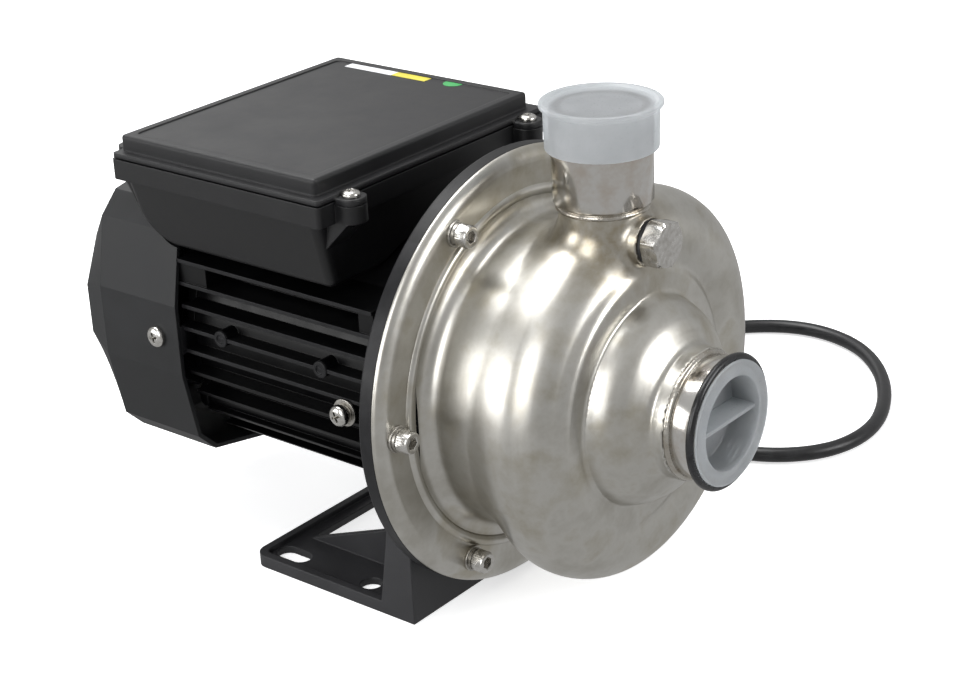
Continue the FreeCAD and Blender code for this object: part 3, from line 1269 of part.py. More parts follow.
PLUG = (COIL_MIDDLE[0] - COIL_R, COIL_MIDDLE[1] - 5, d.plug_r)
plug_front = -d.plug_length
power_plug = new_body("power_plug")
turn(power_plug, [(0, plug_front), (d.plug_r, plug_front, 2), (d.plug_r, plug_front + 24, 6),
                  (12, plug_front + 30, 4), (6.5, -12, 1), (5, 0), (0, 0)])
placed(power_plug, "power_plug", PLUG)
pins = new_body("plug_pins")
pad_round(pins, "XZ", [(-d.pin_place, 0), (d.pin_place, 0)], d.pin_r, plug_front - d.pin_length, plug_front)
placed(pins, "plug_pins", PLUG)


# Checks, then one file for each sub-part

doc.recompute()
for thing in doc.Objects:
    if "Invalid" in thing.State or "Error" in thing.State:
        raise RuntimeError(f"{thing.Name} failed: {thing.State}")
os.makedirs("parts", exist_ok=True)
for thing in PARTS:
    if thing.Shape.isNull() or not thing.Shape.isValid() or not thing.Shape.Solids:
        raise RuntimeError(f"{thing.Label} has no valid solid")
for thing in PARTS:
    thing.Shape.exportStep(f"parts/{thing.Label}.step")
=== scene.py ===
import bmesh
import bpy
import math
import numpy as np
from mathutils import Matrix, Vector


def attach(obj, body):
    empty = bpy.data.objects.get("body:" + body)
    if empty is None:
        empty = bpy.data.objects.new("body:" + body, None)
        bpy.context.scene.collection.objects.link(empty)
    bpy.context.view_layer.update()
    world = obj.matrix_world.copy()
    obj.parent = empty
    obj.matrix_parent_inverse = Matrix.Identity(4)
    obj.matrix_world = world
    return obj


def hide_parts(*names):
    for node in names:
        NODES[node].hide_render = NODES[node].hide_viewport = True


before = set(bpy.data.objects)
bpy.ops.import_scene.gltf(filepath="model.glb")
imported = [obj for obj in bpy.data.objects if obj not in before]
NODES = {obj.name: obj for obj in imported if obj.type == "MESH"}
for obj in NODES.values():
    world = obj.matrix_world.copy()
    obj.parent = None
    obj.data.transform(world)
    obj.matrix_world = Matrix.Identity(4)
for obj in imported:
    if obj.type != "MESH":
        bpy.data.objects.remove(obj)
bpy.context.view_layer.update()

MM = 0.001
SHAFT = Vector((0, -0.0475, 0.105))  # shaft axis in the plane where the steel flange meets the bracket
DISCHARGE_Y = -48.5
VENT_Z = 73.0
MIDDLE = (0, 0.02, 0.1)  # the point that the lamps face


def pump(x, y, z):
    """A point given in mm from the shaft axis and the flange plane, in the part's own frame."""
    return SHAFT + Vector((x, y, z)) * MM


# Camera, light and floor

def set_camera():
    """The photo's camera, solved from the flange, the ports and the box edges."""
    azimuth, height, roll = (math.radians(a) for a in (-50.14, 23.39, -2.78))
    flat = math.cos(height)
    back = Vector((math.sin(azimuth) * flat, -math.cos(azimuth) * flat, math.sin(height)))
    level = Vector((math.cos(azimuth), math.sin(azimuth), 0))
    up = back.cross(level)
    right = level * math.cos(roll) + up * math.sin(roll)
    up = up * math.cos(roll) - level * math.sin(roll)
    camera = bpy.data.objects.new("view", bpy.data.cameras.new("view"))
    camera.data.sensor_width = 36
    camera.data.lens = 81.2
    camera.data.clip_start = 0.05
    target, distance = Vector((-0.0077, -0.0317, 0.1147)), 0.968
    place = Matrix((right, up, back)).transposed().to_4x4()
    place.translation = target + back * distance
    camera.matrix_world = place
    bpy.context.scene.collection.objects.link(camera)
    bpy.context.scene.camera = camera


def soft_lamp(name, place, width, height, power):
    """A white soft box that faces the middle of the object. Sizes are in metres, the power in watts."""
    lamp = bpy.data.lights.new(name, "AREA")
    lamp.shape = "RECTANGLE"
    lamp.size, lamp.size_y, lamp.energy = width, height, power
    thing = bpy.data.objects.new(name, lamp)
    thing.location = place
    thing.rotation_euler = (Vector(MIDDLE) - Vector(place)).to_track_quat("-Z", "Y").to_euler()
    bpy.context.scene.collection.objects.link(thing)


bpy.context.scene.view_settings.view_transform = "Standard"
set_camera()
soft_lamp("overhead_box", (0.0, 0.5, 1.5), 1.1, 1.0, 22)
soft_lamp("left_card", (-1.5, 1.05, 0.4), 0.9, 1.0, 13)
soft_lamp("left_box", (-1.5, -0.3, 0.75), 0.8, 1.2, 11)
soft_lamp("front_box", (0.5, -1.6, 0.8), 0.9, 0.7, 14)
soft_lamp("rear_box", (0.7, 1.4, 0.9), 1.2, 0.8, 3)


# Nodes and colours

def colour(hex_value, alpha=1.0):
    """An sRGB hex colour in the renderer's linear values."""
    channels = [int(hex_value[i:i + 2], 16) / 255 for i in (1, 3, 5)]
    return tuple(c / 12.92 if c <= 0.04045 else ((c + 0.055) / 1.055) ** 2.4 for c in channels) + (alpha,)


def node(tree, kind, inputs=None, stops=None, **settings):
    """Add one node. Inputs are linked where they are given a socket and set where they are given a value;
    stops are the positions and values of a colour ramp."""
    made = tree.nodes.new("ShaderNode" + kind)
    for name, value in settings.items():
        setattr(made, name, value)
    for name, value in (inputs or {}).items():
        if isinstance(value, bpy.types.NodeSocket):
            tree.links.new(value, made.inputs[name])
        else:
            made.inputs[name].default_value = value
    if stops:
        elements = made.color_ramp.elements
        while len(elements) < len(stops):
            elements.new(0.5)
        for element, (position, value) in zip(elements, stops):
            element.position = position
            element.color = value if isinstance(value, tuple) else (value, value, value, 1)
    return made


def new_tree(owner):
    owner.use_nodes = True
    owner.node_tree.nodes.clear()
    return owner.node_tree


def set_world():
    """A studio: white to the camera, and in mirrors brighter overhead than at the sides."""
    world = bpy.data.worlds.new("studio")
    bpy.context.scene.world = world
    tree = new_tree(world)
    path = node(tree, "LightPath").outputs
    way = node(tree, "SeparateXYZ", {0: node(tree, "TexCoord").outputs["Generated"]})
    lift = node(tree, "MapRange", {"Value": way.outputs["Z"], "From Min": -0.3, "From Max": 0.8,
                                   "To Min": 0.3, "To Max": 0.62})
    seen = node(tree, "Math", {0: path["Is Camera Ray"], 1: path["Is Transmission Ray"]}, operation="MAXIMUM")
    fill = node(tree, "Background", {"Color": colour("#f2f4f8"), "Strength": 0.5})
    mirrored = node(tree, "Background", {"Color": (1, 1, 1, 1), "Strength": lift.outputs[0]})
    white = node(tree, "Background", {"Color": (1, 1, 1, 1), "Strength": 1.0})
    first = node(tree, "MixShader", {"Fac": path["Is Glossy Ray"], 1: fill.outputs[0],
                                     2: mirrored.outputs[0]})
    second = node(tree, "MixShader", {"Fac": seen.outputs[0], 1: first.outputs[0], 2: white.outputs[0]})
    node(tree, "OutputWorld", {"Surface": second.outputs[0]})


def set_floor():
    """A white sweep of card: it takes the object's soft shadow and otherwise reads as white."""
    form = bmesh.new()
    bmesh.ops.create_grid(form, x_segments=2, y_segments=2, size=6)
    mesh = bpy.data.meshes.new("floor")
    form.to_mesh(mesh)
    form.free()
    floor = bpy.data.objects.new("floor", mesh)
    floor.location.z = -0.0002
    bpy.context.scene.collection.objects.link(floor)
    card = bpy.data.materials.new("floor_card")
    tree = new_tree(card)
    path = node(tree, "LightPath").outputs
    seen = node(tree, "Math", {0: path["Is Camera Ray"], 1: path["Is Transmission Ray"]}, operation="MAXIMUM")
    matt = node(tree, "BsdfDiffuse", {"Color": colour("#f4f4f4")})
    glow = node(tree, "Emission", {"Color": (1, 1, 1, 1), "Strength": 0.6})
    both = node(tree, "AddShader", {0: matt.outputs[0], 1: glow.outputs[0]})
    pale = node(tree, "Emission", {"Color": (1, 1, 1, 1), "Strength": 0.5})
    plain = node(tree, "MixShader", {"Fac": seen.outputs[0], 1: matt.outputs[0], 2: both.outputs[0]})
    mirror = node(tree, "MixShader", {"Fac": path["Is Glossy Ray"], 1: plain.outputs[0], 2: pale.outputs[0]})
    node(tree, "OutputMaterial", {"Surface": mirror.outputs[0]})
    mesh.materials.append(card)


set_world()
set_floor()


# Materials

def grain(tree, size_mm, detail=3.0, rough=0.6, stretch=(1, 1, 1)):
    """Noise whose features have a real size, in the part's own frame."""
    scaled = node(tree, "Mapping", {0: node(tree, "TexCoord").outputs["Object"], "Scale": stretch})
    return node(tree, "TexNoise", {"Vector": scaled.outputs[0], "Scale": 1 / (size_mm * MM), "Detail": detail,
                                   "Roughness": rough}).outputs["Fac"]


def relief(tree, source, depth_mm, strength=0.6, edge_mm=None):
    """Fine relief of a real depth. With an edge radius, sharp solid edges catch light as moulded ones do."""
    inputs = {"Height": source, "Strength": strength, "Distance": depth_mm * MM}
    if edge_mm:
        inputs["Normal"] = node(tree, "Bevel", {"Radius": edge_mm * MM}, samples=6).outputs[0]
    return node(tree, "Bump", inputs).outputs[0]


def surface(tree, base, rough, normal, **values):
    """The material's outer layer, with its constants set on the shader itself."""
    inputs = {"Base Color": base, "Roughness": rough, "Normal": normal}
    inputs.update({name.replace("_", " "): value for name, value in values.items()})
    node(tree, "OutputMaterial", {"Surface": node(tree, "BsdfPrincipled", inputs).outputs[0]})


def moulded_plastic(name, dark, light, rough, grain_mm, depth_mm, edge_mm=0.6):
    """Filled thermoplastic: a fine pebbled skin that breaks the highlight up, and eased edges."""
    made = bpy.data.materials.new(name)
    tree = new_tree(made)
    cloud = grain(tree, 26, 5)
    base = node(tree, "ValToRGB", {0: cloud}, [(0.3, colour(dark)), (0.72, colour(light))])
    shine = node(tree, "ValToRGB", {0: cloud}, [(0.3, rough - 0.05), (0.75, rough + 0.06)])
    skin = relief(tree, grain(tree, grain_mm, 2, 0.55), depth_mm, 0.5, edge_mm)
    surface(tree, base.outputs[0], shine.outputs[0], skin, IOR=1.5, Specular_IOR_Level=0.42)
    return made


def painted_casting(name, dark, light, rough):
    """Stoved black paint on die-cast aluminium: satin with a slight orange-peel ripple, and a painted
    highlight in grey on the fin tips."""
    made = bpy.data.materials.new(name)
    tree = new_tree(made)
    cloud = grain(tree, 18, 4)
    paint = node(tree, "ValToRGB", {0: cloud}, [(0.3, colour(dark)), (0.7, colour(light))])
    highlight_from, highlight_to = 0.0626, 0.0633  # metres to either side of the shaft, where the fins end and the painted highlight lies
    across = node(tree, "SeparateXYZ", {0: node(tree, "TexCoord").outputs["Object"]}).outputs["X"]
    side = node(tree, "Math", {0: across}, operation="ABSOLUTE").outputs[0]
    # Painted highlight: grey is mixed into the paint on the fin tips, in patches, where light catches them.
    tip = node(tree, "MapRange", {"Value": side, "From Min": highlight_from, "From Max": highlight_to,
                                  "To Min": 0.0, "To Max": 0.75})
    patchy = node(tree, "ValToRGB", {0: grain(tree, 7, 4)}, [(0.3, 0.45), (0.7, 1.0)])
    tip_highlight = node(tree, "Math", {0: tip.outputs[0], 1: patchy.outputs[0]}, operation="MULTIPLY")
    base = node(tree, "Mix", {0: tip_highlight.outputs[0], 6: paint.outputs[0], 7: colour("#1f1f21")},
                data_type="RGBA")
    shine = node(tree, "ValToRGB", {0: cloud}, [(0.3, rough - 0.06), (0.7, rough + 0.08)])
    ripple = relief(tree, grain(tree, 1.3, 2), 0.05, 0.6, 0.5)
    surface(tree, base.outputs[2], shine.outputs[0], ripple, IOR=1.5, Specular_IOR_Level=0.25)
    return made


def pickled_steel():
    """Deep-drawn stainless sheet, pickled after welding: a satin skin with faint marks drawn round the
    shaft, cloudy straw and olive stains by the outlet's weld and a frosted grain all over."""
    made = bpy.data.materials.new("pickled_stainless")
    tree = new_tree(made)
    place = node(tree, "TexCoord").outputs["Object"]
    centred = node(tree, "VectorMath", {0: place, 1: SHAFT}, operation="SUBTRACT").outputs[0]
    parts = node(tree, "SeparateXYZ", {0: centred}).outputs
    squares = [node(tree, "Math", {0: parts[a], 1: parts[a]}, operation="MULTIPLY").outputs[0] for a in "XZ"]
    total = node(tree, "Math", {0: squares[0], 1: squares[1]}, operation="ADD")
    radius = node(tree, "Math", {0: total.outputs[0]}, operation="SQRT")
    # Drawing marks follow the radius and the depth, drawn about 1 mm apart so that they show.
    drawn = node(tree, "CombineXYZ", {"X": radius.outputs[0], "Y": parts["Y"]})
    marks = node(tree, "TexNoise", {"Vector": drawn.outputs[0], "Scale": 1 / (1.2 * MM), "Detail": 4.0,
                                    "Roughness": 0.72}).outputs["Fac"]
    tint = node(tree, "ValToRGB", {0: grain(tree, 30, 5, 0.62)},
                [(0.34, colour("#b3b0a8")), (0.5, colour("#c4c2bc")), (0.68, colour("#b1ac9f"))])
    outlet = node(tree, "VectorMath", {0: centred, 1: (-0.004, -0.052, 0.074)}, operation="DISTANCE")
    near = node(tree, "MapRange", {"Value": outlet.outputs["Value"], "From Min": 0.014, "From Max": 0.04,
                                   "To Min": 0.7, "To Max": 0.0})
    torn = node(tree, "ValToRGB", {0: grain(tree, 5.5, 4)}, [(0.32, 0.3), (0.66, 1.0)])
    stain = node(tree, "Math", {0: near.outputs[0], 1: torn.outputs[0]}, operation="MULTIPLY")
    stained = node(tree, "Mix", {0: stain.outputs[0], 6: tint.outputs[0], 7: colour("#8d7f62")},
                   data_type="RGBA")
    blotch = node(tree, "ValToRGB", {0: grain(tree, 15, 4)}, [(0.58, 0.0), (0.8, 0.22)])
    warm = node(tree, "Mix", {0: blotch.outputs[0], 6: stained.outputs[2], 7: colour("#9d937c")},
                data_type="RGBA")
    shine = node(tree, "ValToRGB", {0: marks}, [(0.25, 0.28), (0.75, 0.37)])
    both = node(tree, "Math", {0: marks, 1: grain(tree, 0.6, 2)}, operation="ADD")
    ring_way = node(tree, "Tangent", direction_type="RADIAL", axis="Y")
    surface(tree, warm.outputs[2], shine.outputs[0], relief(tree, both.outputs[0], 0.02, 0.32), Metallic=1.0,
            Anisotropic=0.4, Tangent=ring_way.outputs[0])
    return made


def polished_steel(name, base_hex, tint_hex, rough, stretch=(1, 6, 6)):
    """Turned stainless, buffed: bright, with a fine spun scratch and a straw tint left by the weld."""
    made = bpy.data.materials.new(name)
    tree = new_tree(made)
    scratch = grain(tree, 2.2, 4, 0.7, stretch)
    base = node(tree, "ValToRGB", {0: grain(tree, 9, 3)}, [(0.42, colour(base_hex)), (0.8, colour(tint_hex))])
    shine = node(tree, "ValToRGB", {0: scratch}, [(0.3, rough - 0.04), (0.7, rough + 0.06)])
    surface(tree, base.outputs[0], shine.outputs[0], relief(tree, scratch, 0.012, 0.3), Metallic=1.0)
    return made


def plated_steel(name, base_hex, low_hex, rough):
    """Plated steel of screws and washers: bright, with tiny tumbling dents."""
    made = bpy.data.materials.new(name)
    tree = new_tree(made)
    dents = grain(tree, 2.5, 3)
    base = node(tree, "ValToRGB", {0: dents}, [(0.3, colour(low_hex)), (0.6, colour(base_hex))])
    shine = node(tree, "ValToRGB", {0: dents}, [(0.35, rough - 0.05), (0.7, rough + 0.1)])
    surface(tree, base.outputs[0], shine.outputs[0], relief(tree, dents, 0.02, 0.25, 0.2), Metallic=1.0)
    return made


def milky_polythene(name, sheer):
    """Low-density polythene, injection moulded: waxy and milky, so that light comes through the thin
    wall and the steel behind shows as a soft shade."""
    made = bpy.data.materials.new(name)
    tree = new_tree(made)
    base = node(tree, "ValToRGB", {0: grain(tree, 11, 3)},
                [(0.3, colour("#bbbdbf")), (0.7, colour("#cacbcd"))])
    scuff = grain(tree, 1.4, 4, 0.7)
    shine = node(tree, "ValToRGB", {0: scuff}, [(0.35, 0.26), (0.7, 0.42)])
    skin_relief = relief(tree, scuff, 0.03, 0.3)
    skin = node(tree, "BsdfPrincipled", {"Base Color": base.outputs[0], "Roughness": shine.outputs[0],
                                         "Normal": skin_relief, "IOR": 1.51})
    through = node(tree, "BsdfTranslucent", {"Color": colour("#d0d2d3"), "Normal": skin_relief})
    clear = node(tree, "BsdfTransparent", {"Color": colour("#e4e8ea")})
    body = node(tree, "MixShader", {0: 0.42, 1: skin.outputs[0], 2: through.outputs[0]})
    thin = node(tree, "MixShader", {0: sheer, 1: body.outputs[0], 2: clear.outputs[0]})
    node(tree, "OutputMaterial", {"Surface": thin.outputs[0]})
    return made


def rubber(name, base_hex, rough, edge_mm=None):
    """Moulded nitrile or cord rubber: nearly black, faintly cloudy, with a soft sheen."""
    made = bpy.data.materials.new(name)
    tree = new_tree(made)
    bloom = grain(tree, 6, 4)
    base = node(tree, "ValToRGB", {0: bloom}, [(0.3, colour(base_hex)), (0.75, colour("#1f1f21"))])
    shine = node(tree, "ValToRGB", {0: bloom}, [(0.3, rough - 0.05), (0.7, rough + 0.08)])
    surface(tree, base.outputs[0], shine.outputs[0], relief(tree, grain(tree, 0.5, 2), 0.015, 0.4, edge_mm),
            IOR=1.5)
    return made


def bare_label(name, base_hex, shade_hex):
    """Vinyl label left bare: smooth, with a faint ripple where it was pressed on."""
    made = bpy.data.materials.new(name)
    tree = new_tree(made)
    ripple = grain(tree, 5, 2)
    base = node(tree, "ValToRGB", {0: ripple}, [(0.3, colour(shade_hex)), (0.7, colour(base_hex))])
    surface(tree, base.outputs[0], 0.35, relief(tree, ripple, 0.04, 0.4), IOR=1.5)
    return made


def varnished_copper():
    """Enamelled copper wire, laced and varnished: fine ribs that run round the winding."""
    made = bpy.data.materials.new("varnished_copper")
    tree = new_tree(made)
    wires = node(tree, "TexWave", {"Vector": node(tree, "TexCoord").outputs["Object"], "Scale": 260,
                                   "Distortion": 2.0, "Detail": 2.0}).outputs["Fac"]
    base = node(tree, "ValToRGB", {0: wires}, [(0.2, colour("#7a3d1e")), (0.8, colour("#b0683a"))])
    surface(tree, base.outputs[0], 0.35, relief(tree, wires, 0.3, 0.7), Metallic=0.85)
    return made


def lapped_ceramic():
    """Lapped alumina: off-white, very smooth, with faint specks."""
    made = bpy.data.materials.new("lapped_ceramic")
    tree = new_tree(made)
    speck = grain(tree, 0.6, 3)
    base = node(tree, "ValToRGB", {0: speck}, [(0.6, colour("#ddd8cc")), (0.8, colour("#bdb6a8"))])
    surface(tree, base.outputs[0], 0.15, relief(tree, speck, 0.005, 0.2), IOR=1.75)
    return made


STEEL = pickled_steel()
BRIGHT = polished_steel("buffed_stainless", "#cfcdc9", "#bdb2a5", 0.14)
BEAD = polished_steel("weld_bead_steel", "#bab6ae", "#8f8473", 0.24, (1, 1, 1))
SCREW = plated_steel("nickel_plated_steel", "#cfcdc9", "#b7b4ae", 0.2)
WASHER = plated_steel("zinc_washer_steel", "#bdbab4", "#8f8c86", 0.3)
MACHINED = polished_steel("machined_steel", "#a9a9a6", "#9a9a97", 0.3)
PAINT = painted_casting("stoved_black_paint", "#030304", "#070708", 0.4)
BOX = moulded_plastic("moulded_black_box", "#070708", "#0e0e10", 0.45, 0.6, 0.05)
LID = moulded_plastic("moulded_black_lid", "#111112", "#19191b", 0.5, 0.6, 0.05, 1.6)
COWL = moulded_plastic("moulded_grey_cowl", "#0f1011", "#18191b", 0.52, 0.75, 0.05)
FOOT = moulded_plastic("moulded_foot", "#222224", "#2c2c2e", 0.52, 0.8, 0.06, 1.0)
INNER = moulded_plastic("moulded_inner_plastic", "#2b2c2e", "#393a3c", 0.5, 0.8, 0.04)
GLAND = moulded_plastic("moulded_gland", "#0d0d0e", "#151517", 0.45, 0.6, 0.04)
POLYTHENE = milky_polythene("milky_polythene", 0.3)
THIN_POLYTHENE = milky_polythene("thin_polythene", 0.45)
RUBBER = rubber("nitrile_rubber", "#0a0a0b", 0.25)
CORD = rubber("cord_rubber", "#0c0c0d", 0.36)
SOFT = rubber("gasket_rubber", "#101011", 0.55, 0.3)
CERAMIC = lapped_ceramic()
COPPER = varnished_copper()
WHITE_LABEL = bare_label("bare_white_label", "#e9eaec", "#d9dadd")
YELLOW_LABEL = bare_label("bare_yellow_label", "#d9cd3f", "#c9bd38")
GREEN_LABEL = bare_label("bare_green_label", "#3faa5c", "#36964f")

CARRIED = {
    STEEL: ["pump_casing"],
    BRIGHT: ["suction_nipple", "discharge_nipple"],
    SCREW: ["casing_screws", "cowl_screws", "lid_screws", "earth_screw", "vent_plug", "foot_screws",
            "tie_rods", "impeller_nut", "fan_clip", "plug_pins", "bearing_balls"],
    WASHER: ["casing_spring_washers", "casing_flat_washers", "earth_washers", "capacitor_clip"],
    MACHINED: ["seal_plate", "wear_sleeve", "impeller", "shaft", "seal_spring", "bearing_outer_rings",
               "bearing_inner_rings", "stator_core", "rotor_core"],
    PAINT: ["motor_bracket", "motor_frame", "rear_end_shield"],
    BOX: ["terminal_box_base"],
    LID: ["terminal_box_lid"],
    COWL: ["fan_cowl"],
    FOOT: ["foot"],
    INNER: ["fan", "terminal_block", "capacitor"],
    GLAND: ["cable_gland", "gland_nut", "power_plug"],
    POLYTHENE: ["discharge_cap", "suction_plug"],
    RUBBER: ["suction_o_ring", "casing_o_ring"],
    SOFT: ["seal_bellows", "slinger", "box_gasket", "lid_gasket", "vent_washer"],
    CORD: ["power_cord", "cord_coil"],
    CERAMIC: ["seal_seat", "seal_face"],
    COPPER: ["stator_winding"],
}
for finish, names in CARRIED.items():
    for name in names:
        mesh = NODES[name].data
        mesh.materials.clear()
        mesh.materials.append(finish)


# Building pieces

def piece(name, form, material, body, stands_for=(), smooth=40):
    """Make an object from a bmesh in the part's frame, let it ride, and hide the solids it stands for."""
    bmesh.ops.recalc_face_normals(form, faces=form.faces)
    for face in form.faces:
        face.smooth = True
    for edge in form.edges:
        if len(edge.link_faces) == 2:
            edge.smooth = edge.calc_face_angle(0) < math.radians(smooth)
    mesh = bpy.data.meshes.new(name)
    form.to_mesh(mesh)
    form.free()
    mesh.materials.append(material)
    return carried(bpy.data.objects.new(name, mesh), body, stands_for)


def carried(thing, body, stands_for=()):
    """Link an object, let it ride a body, and hide the solids it stands for."""
    bpy.context.scene.collection.objects.link(thing)
    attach(thing, body)
    if stands_for:
        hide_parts(*stands_for)
    return thing


def eased(corners, steps=5):
    """A closed profile with its corners rounded. A corner is (across, along) or (across, along, radius)."""
    points = []
    count = len(corners)
    for i, corner in enumerate(corners):
        here = Vector(corner[:2])
        if len(corner) == 2:
            points.append(here)
            continue
        back = (Vector(corners[i - 1][:2]) - here).normalized()
        ahead = (Vector(corners[(i + 1) % count][:2]) - here).normalized()
        half = back.angle(ahead) / 2
        reach = corner[2] / math.tan(half)
        middle = here + (back + ahead).normalized() * (corner[2] / math.sin(half))
        first, last = here + back * reach - middle, here + ahead * reach - middle
        sweep = first.angle_signed(last)
        for k in range(steps + 1):
            turn = -sweep * k / steps
            c, s = math.cos(turn), math.sin(turn)
            points.append(middle + Vector((first.x * c - first.y * s, first.x * s + first.y * c)))
    return points


def lathe(profile, turns=96, closed=True, shape=None):
    """Spin a profile of (radius, height), in mm, about the Z axis. A shape may change the radius by the
    height and the angle, as a hexagon or a knurl does."""
    form = bmesh.new()
    rings = []
    for radius, height in profile:
        if radius < 1e-6:
            rings.append([form.verts.new((0, 0, height * MM))] * turns)
            continue
        ring = []
        for i in range(turns):
            angle = 2 * math.pi * i / turns
            reach = (shape(radius, height, angle) if shape else radius) * MM
            ring.append(form.verts.new((reach * math.cos(angle), reach * math.sin(angle), height * MM)))
        rings.append(ring)
    pairs = list(zip(rings, rings[1:])) + ([(rings[-1], rings[0])] if closed else [])
    for low, high in pairs:
        for i in range(turns):
            corners = [low[i], low[(i + 1) % turns], high[(i + 1) % turns], high[i]]
            unique = list(dict.fromkeys(corners))
            if len(unique) > 2:
                form.faces.new(unique)
    return form


def put(form, origin, direction, spin=0.0):
    """Turn a form that was made upright so that its +Z points along a direction, and move it."""
    turn = Vector((0, 0, 1)).rotation_difference(Vector(direction)).to_matrix().to_4x4()
    form.transform(Matrix.Translation(origin) @ turn @ Matrix.Rotation(spin, 4, "Z"))
    return form


def joined(forms):
    """Several forms as one bmesh."""
    whole = bmesh.new()
    for form in forms:
        part = bpy.data.meshes.new("part")
        form.to_mesh(part)
        form.free()
        whole.from_mesh(part)
        bpy.data.meshes.remove(part)
    return whole


def threaded(inner, outer_profile, low, high, pitch, depth, turns=96):
    """A tube whose bore carries a helical thread from low to high. The outer profile runs from the high
    end back to the low end."""
    form = bmesh.new()
    rows = int((high - low) / pitch * 6)
    rings = []
    for row in range(rows + 1):
        height = low + (high - low) * row / rows
        fade = min(1.0, (high - height) / pitch, (height - low) / pitch + 0.3)
        ring = []
        for i in range(turns):
            angle = 2 * math.pi * i / turns
            phase = (height / pitch + i / turns) % 1.0
            reach = (inner + depth * fade * (1 - abs(2 * phase - 1))) * MM
            ring.append(form.verts.new((reach * math.cos(angle), reach * math.sin(angle), height * MM)))
        rings.append(ring)
    for radius, height in outer_profile:
        reach = radius * MM
        rings.append([form.verts.new((reach * math.cos(angle), reach * math.sin(angle), height * MM))
                      for angle in (2 * math.pi * i / turns for i in range(turns))])
    for low_ring, high_ring in zip(rings, rings[1:] + rings[:1]):
        for i in range(turns):
            k = (i + 1) % turns
            form.faces.new((low_ring[i], low_ring[k], high_ring[k], high_ring[i]))
    return form


FORWARD = (0, -1, 0)
UP = (0, 0, 1)


# Casing pressing: one smooth skin, found as the zero level of a blended distance

def rounded_union(a, b, radius):
    """Join two distances with a fillet between them."""
    u, v = np.maximum(radius - a, 0), np.maximum(radius - b, 0)
    return np.maximum(radius, np.minimum(a, b)) - np.hypot(u, v)


def rounded_box(u, v, half_u, half_v, radius):
    """Distance from a rectangle about the origin, its corners rounded."""
    du, dv = np.abs(u) - half_u + radius, np.abs(v) - half_v + radius
    return np.hypot(np.maximum(du, 0), np.maximum(dv, 0)) + np.minimum(np.maximum(du, dv), 0) - radius


# How far the volute's channel reaches from the shaft, in mm, by the angle round it in degrees.
VOLUTE_ANGLE = [85, 92, 105, 120, 165, 205, 240, 272, 310, 355, 402, 430, 445]
VOLUTE_REACH = [83.5, 80, 74, 70, 70, 74, 83.5, 91.5, 96.5, 97, 96.2, 88.5, 83.5]
DOME_Y = [-97, -93, -91, -89.6, -87.4, -84.2, -80.2, -75.5, -70.8, -68.4, -60]
DOME_R = [29, 29, 29.3, 30.4, 34, 38.6, 42.3, 45, 46.5, 47.3, 47.6]


def smooth_table(positions, values, wanted):
    """Values between stations on a curve without kinks."""
    slopes = np.gradient(values, positions)
    index = np.clip(np.searchsorted(positions, wanted) - 1, 0, len(positions) - 2)
    x0, x1 = np.take(positions, index), np.take(positions, index + 1)
    y0, y1 = np.take(values, index), np.take(values, index + 1)
    m0, m1 = np.take(slopes, index), np.take(slopes, index + 1)
    width = x1 - x0
    t = np.clip((wanted - x0) / width, 0, 1)
    return ((2 * t ** 3 - 3 * t ** 2 + 1) * y0 + (t ** 3 - 2 * t ** 2 + t) * width * m0
            + (3 * t ** 2 - 2 * t ** 3) * y1 + (t ** 3 - t ** 2) * width * m1)


def pressed_form(x, y, z):
    """Distance in mm from the outer skin: drum, flange, volute, raised ring, dome, outlet and vent boss."""
    channel_r = 24
    radius = np.hypot(x, z)
    angle = np.degrees(np.arctan2(z, x))
    angle = np.where(angle < 85, angle + 360, angle)
    drum = rounded_box(radius, y + 4, 70, 64, 24)
    flange = rounded_box(radius, y - 20, 120, 24.5, 2)
    skin = rounded_union(drum, flange, 7.5)
    centre = smooth_table(np.array(VOLUTE_ANGLE, float), np.array(VOLUTE_REACH, float), angle) - channel_r
    channel = np.hypot(radius - centre, y + 44) - channel_r
    skin = rounded_union(skin, channel, 5)
    ring = rounded_box(radius, y + 48.4, 57.5, 20, 2.5)
    skin = rounded_union(skin, ring, 3.5)
    across = smooth_table(np.array(DOME_Y, float), np.array(DOME_R, float), np.clip(y, -97, -60))
    dome = np.maximum((radius - across) * 0.75, np.maximum(-97 - y, y + 50))
    skin = rounded_union(skin, dome, 1.6)
    outlet = np.maximum(np.hypot(x, y - DISCHARGE_Y) - 19, np.maximum(z - 85, 30 - z))
    skin = rounded_union(skin, outlet, 7)
    boss = np.maximum(np.hypot(x, z - VENT_Z) - 10.5, np.maximum(-72 - y, y + 40))
    return rounded_union(skin, boss, 3)


def sheet_form(x, y, z):
    """The pressed sheet itself, open at the rear and at the two ports."""
    skin = pressed_form(x, y, z)
    radius = np.hypot(x, z)
    mouth = np.maximum(radius - 24, y + 60)
    neck = np.maximum(np.hypot(x, y - DISCHARGE_Y) - 16.5, 50 - z)
    vent = np.maximum(np.hypot(x, z - VENT_Z) - 6.6, y + 50)
    sheet = np.maximum(skin, -(skin + 4.5))
    for opening in (mouth, neck, vent):
        sheet = np.maximum(sheet, -opening)
    return np.maximum(sheet, np.maximum(y + 0.02, np.where(y > -12, radius - 79.6, -9)))


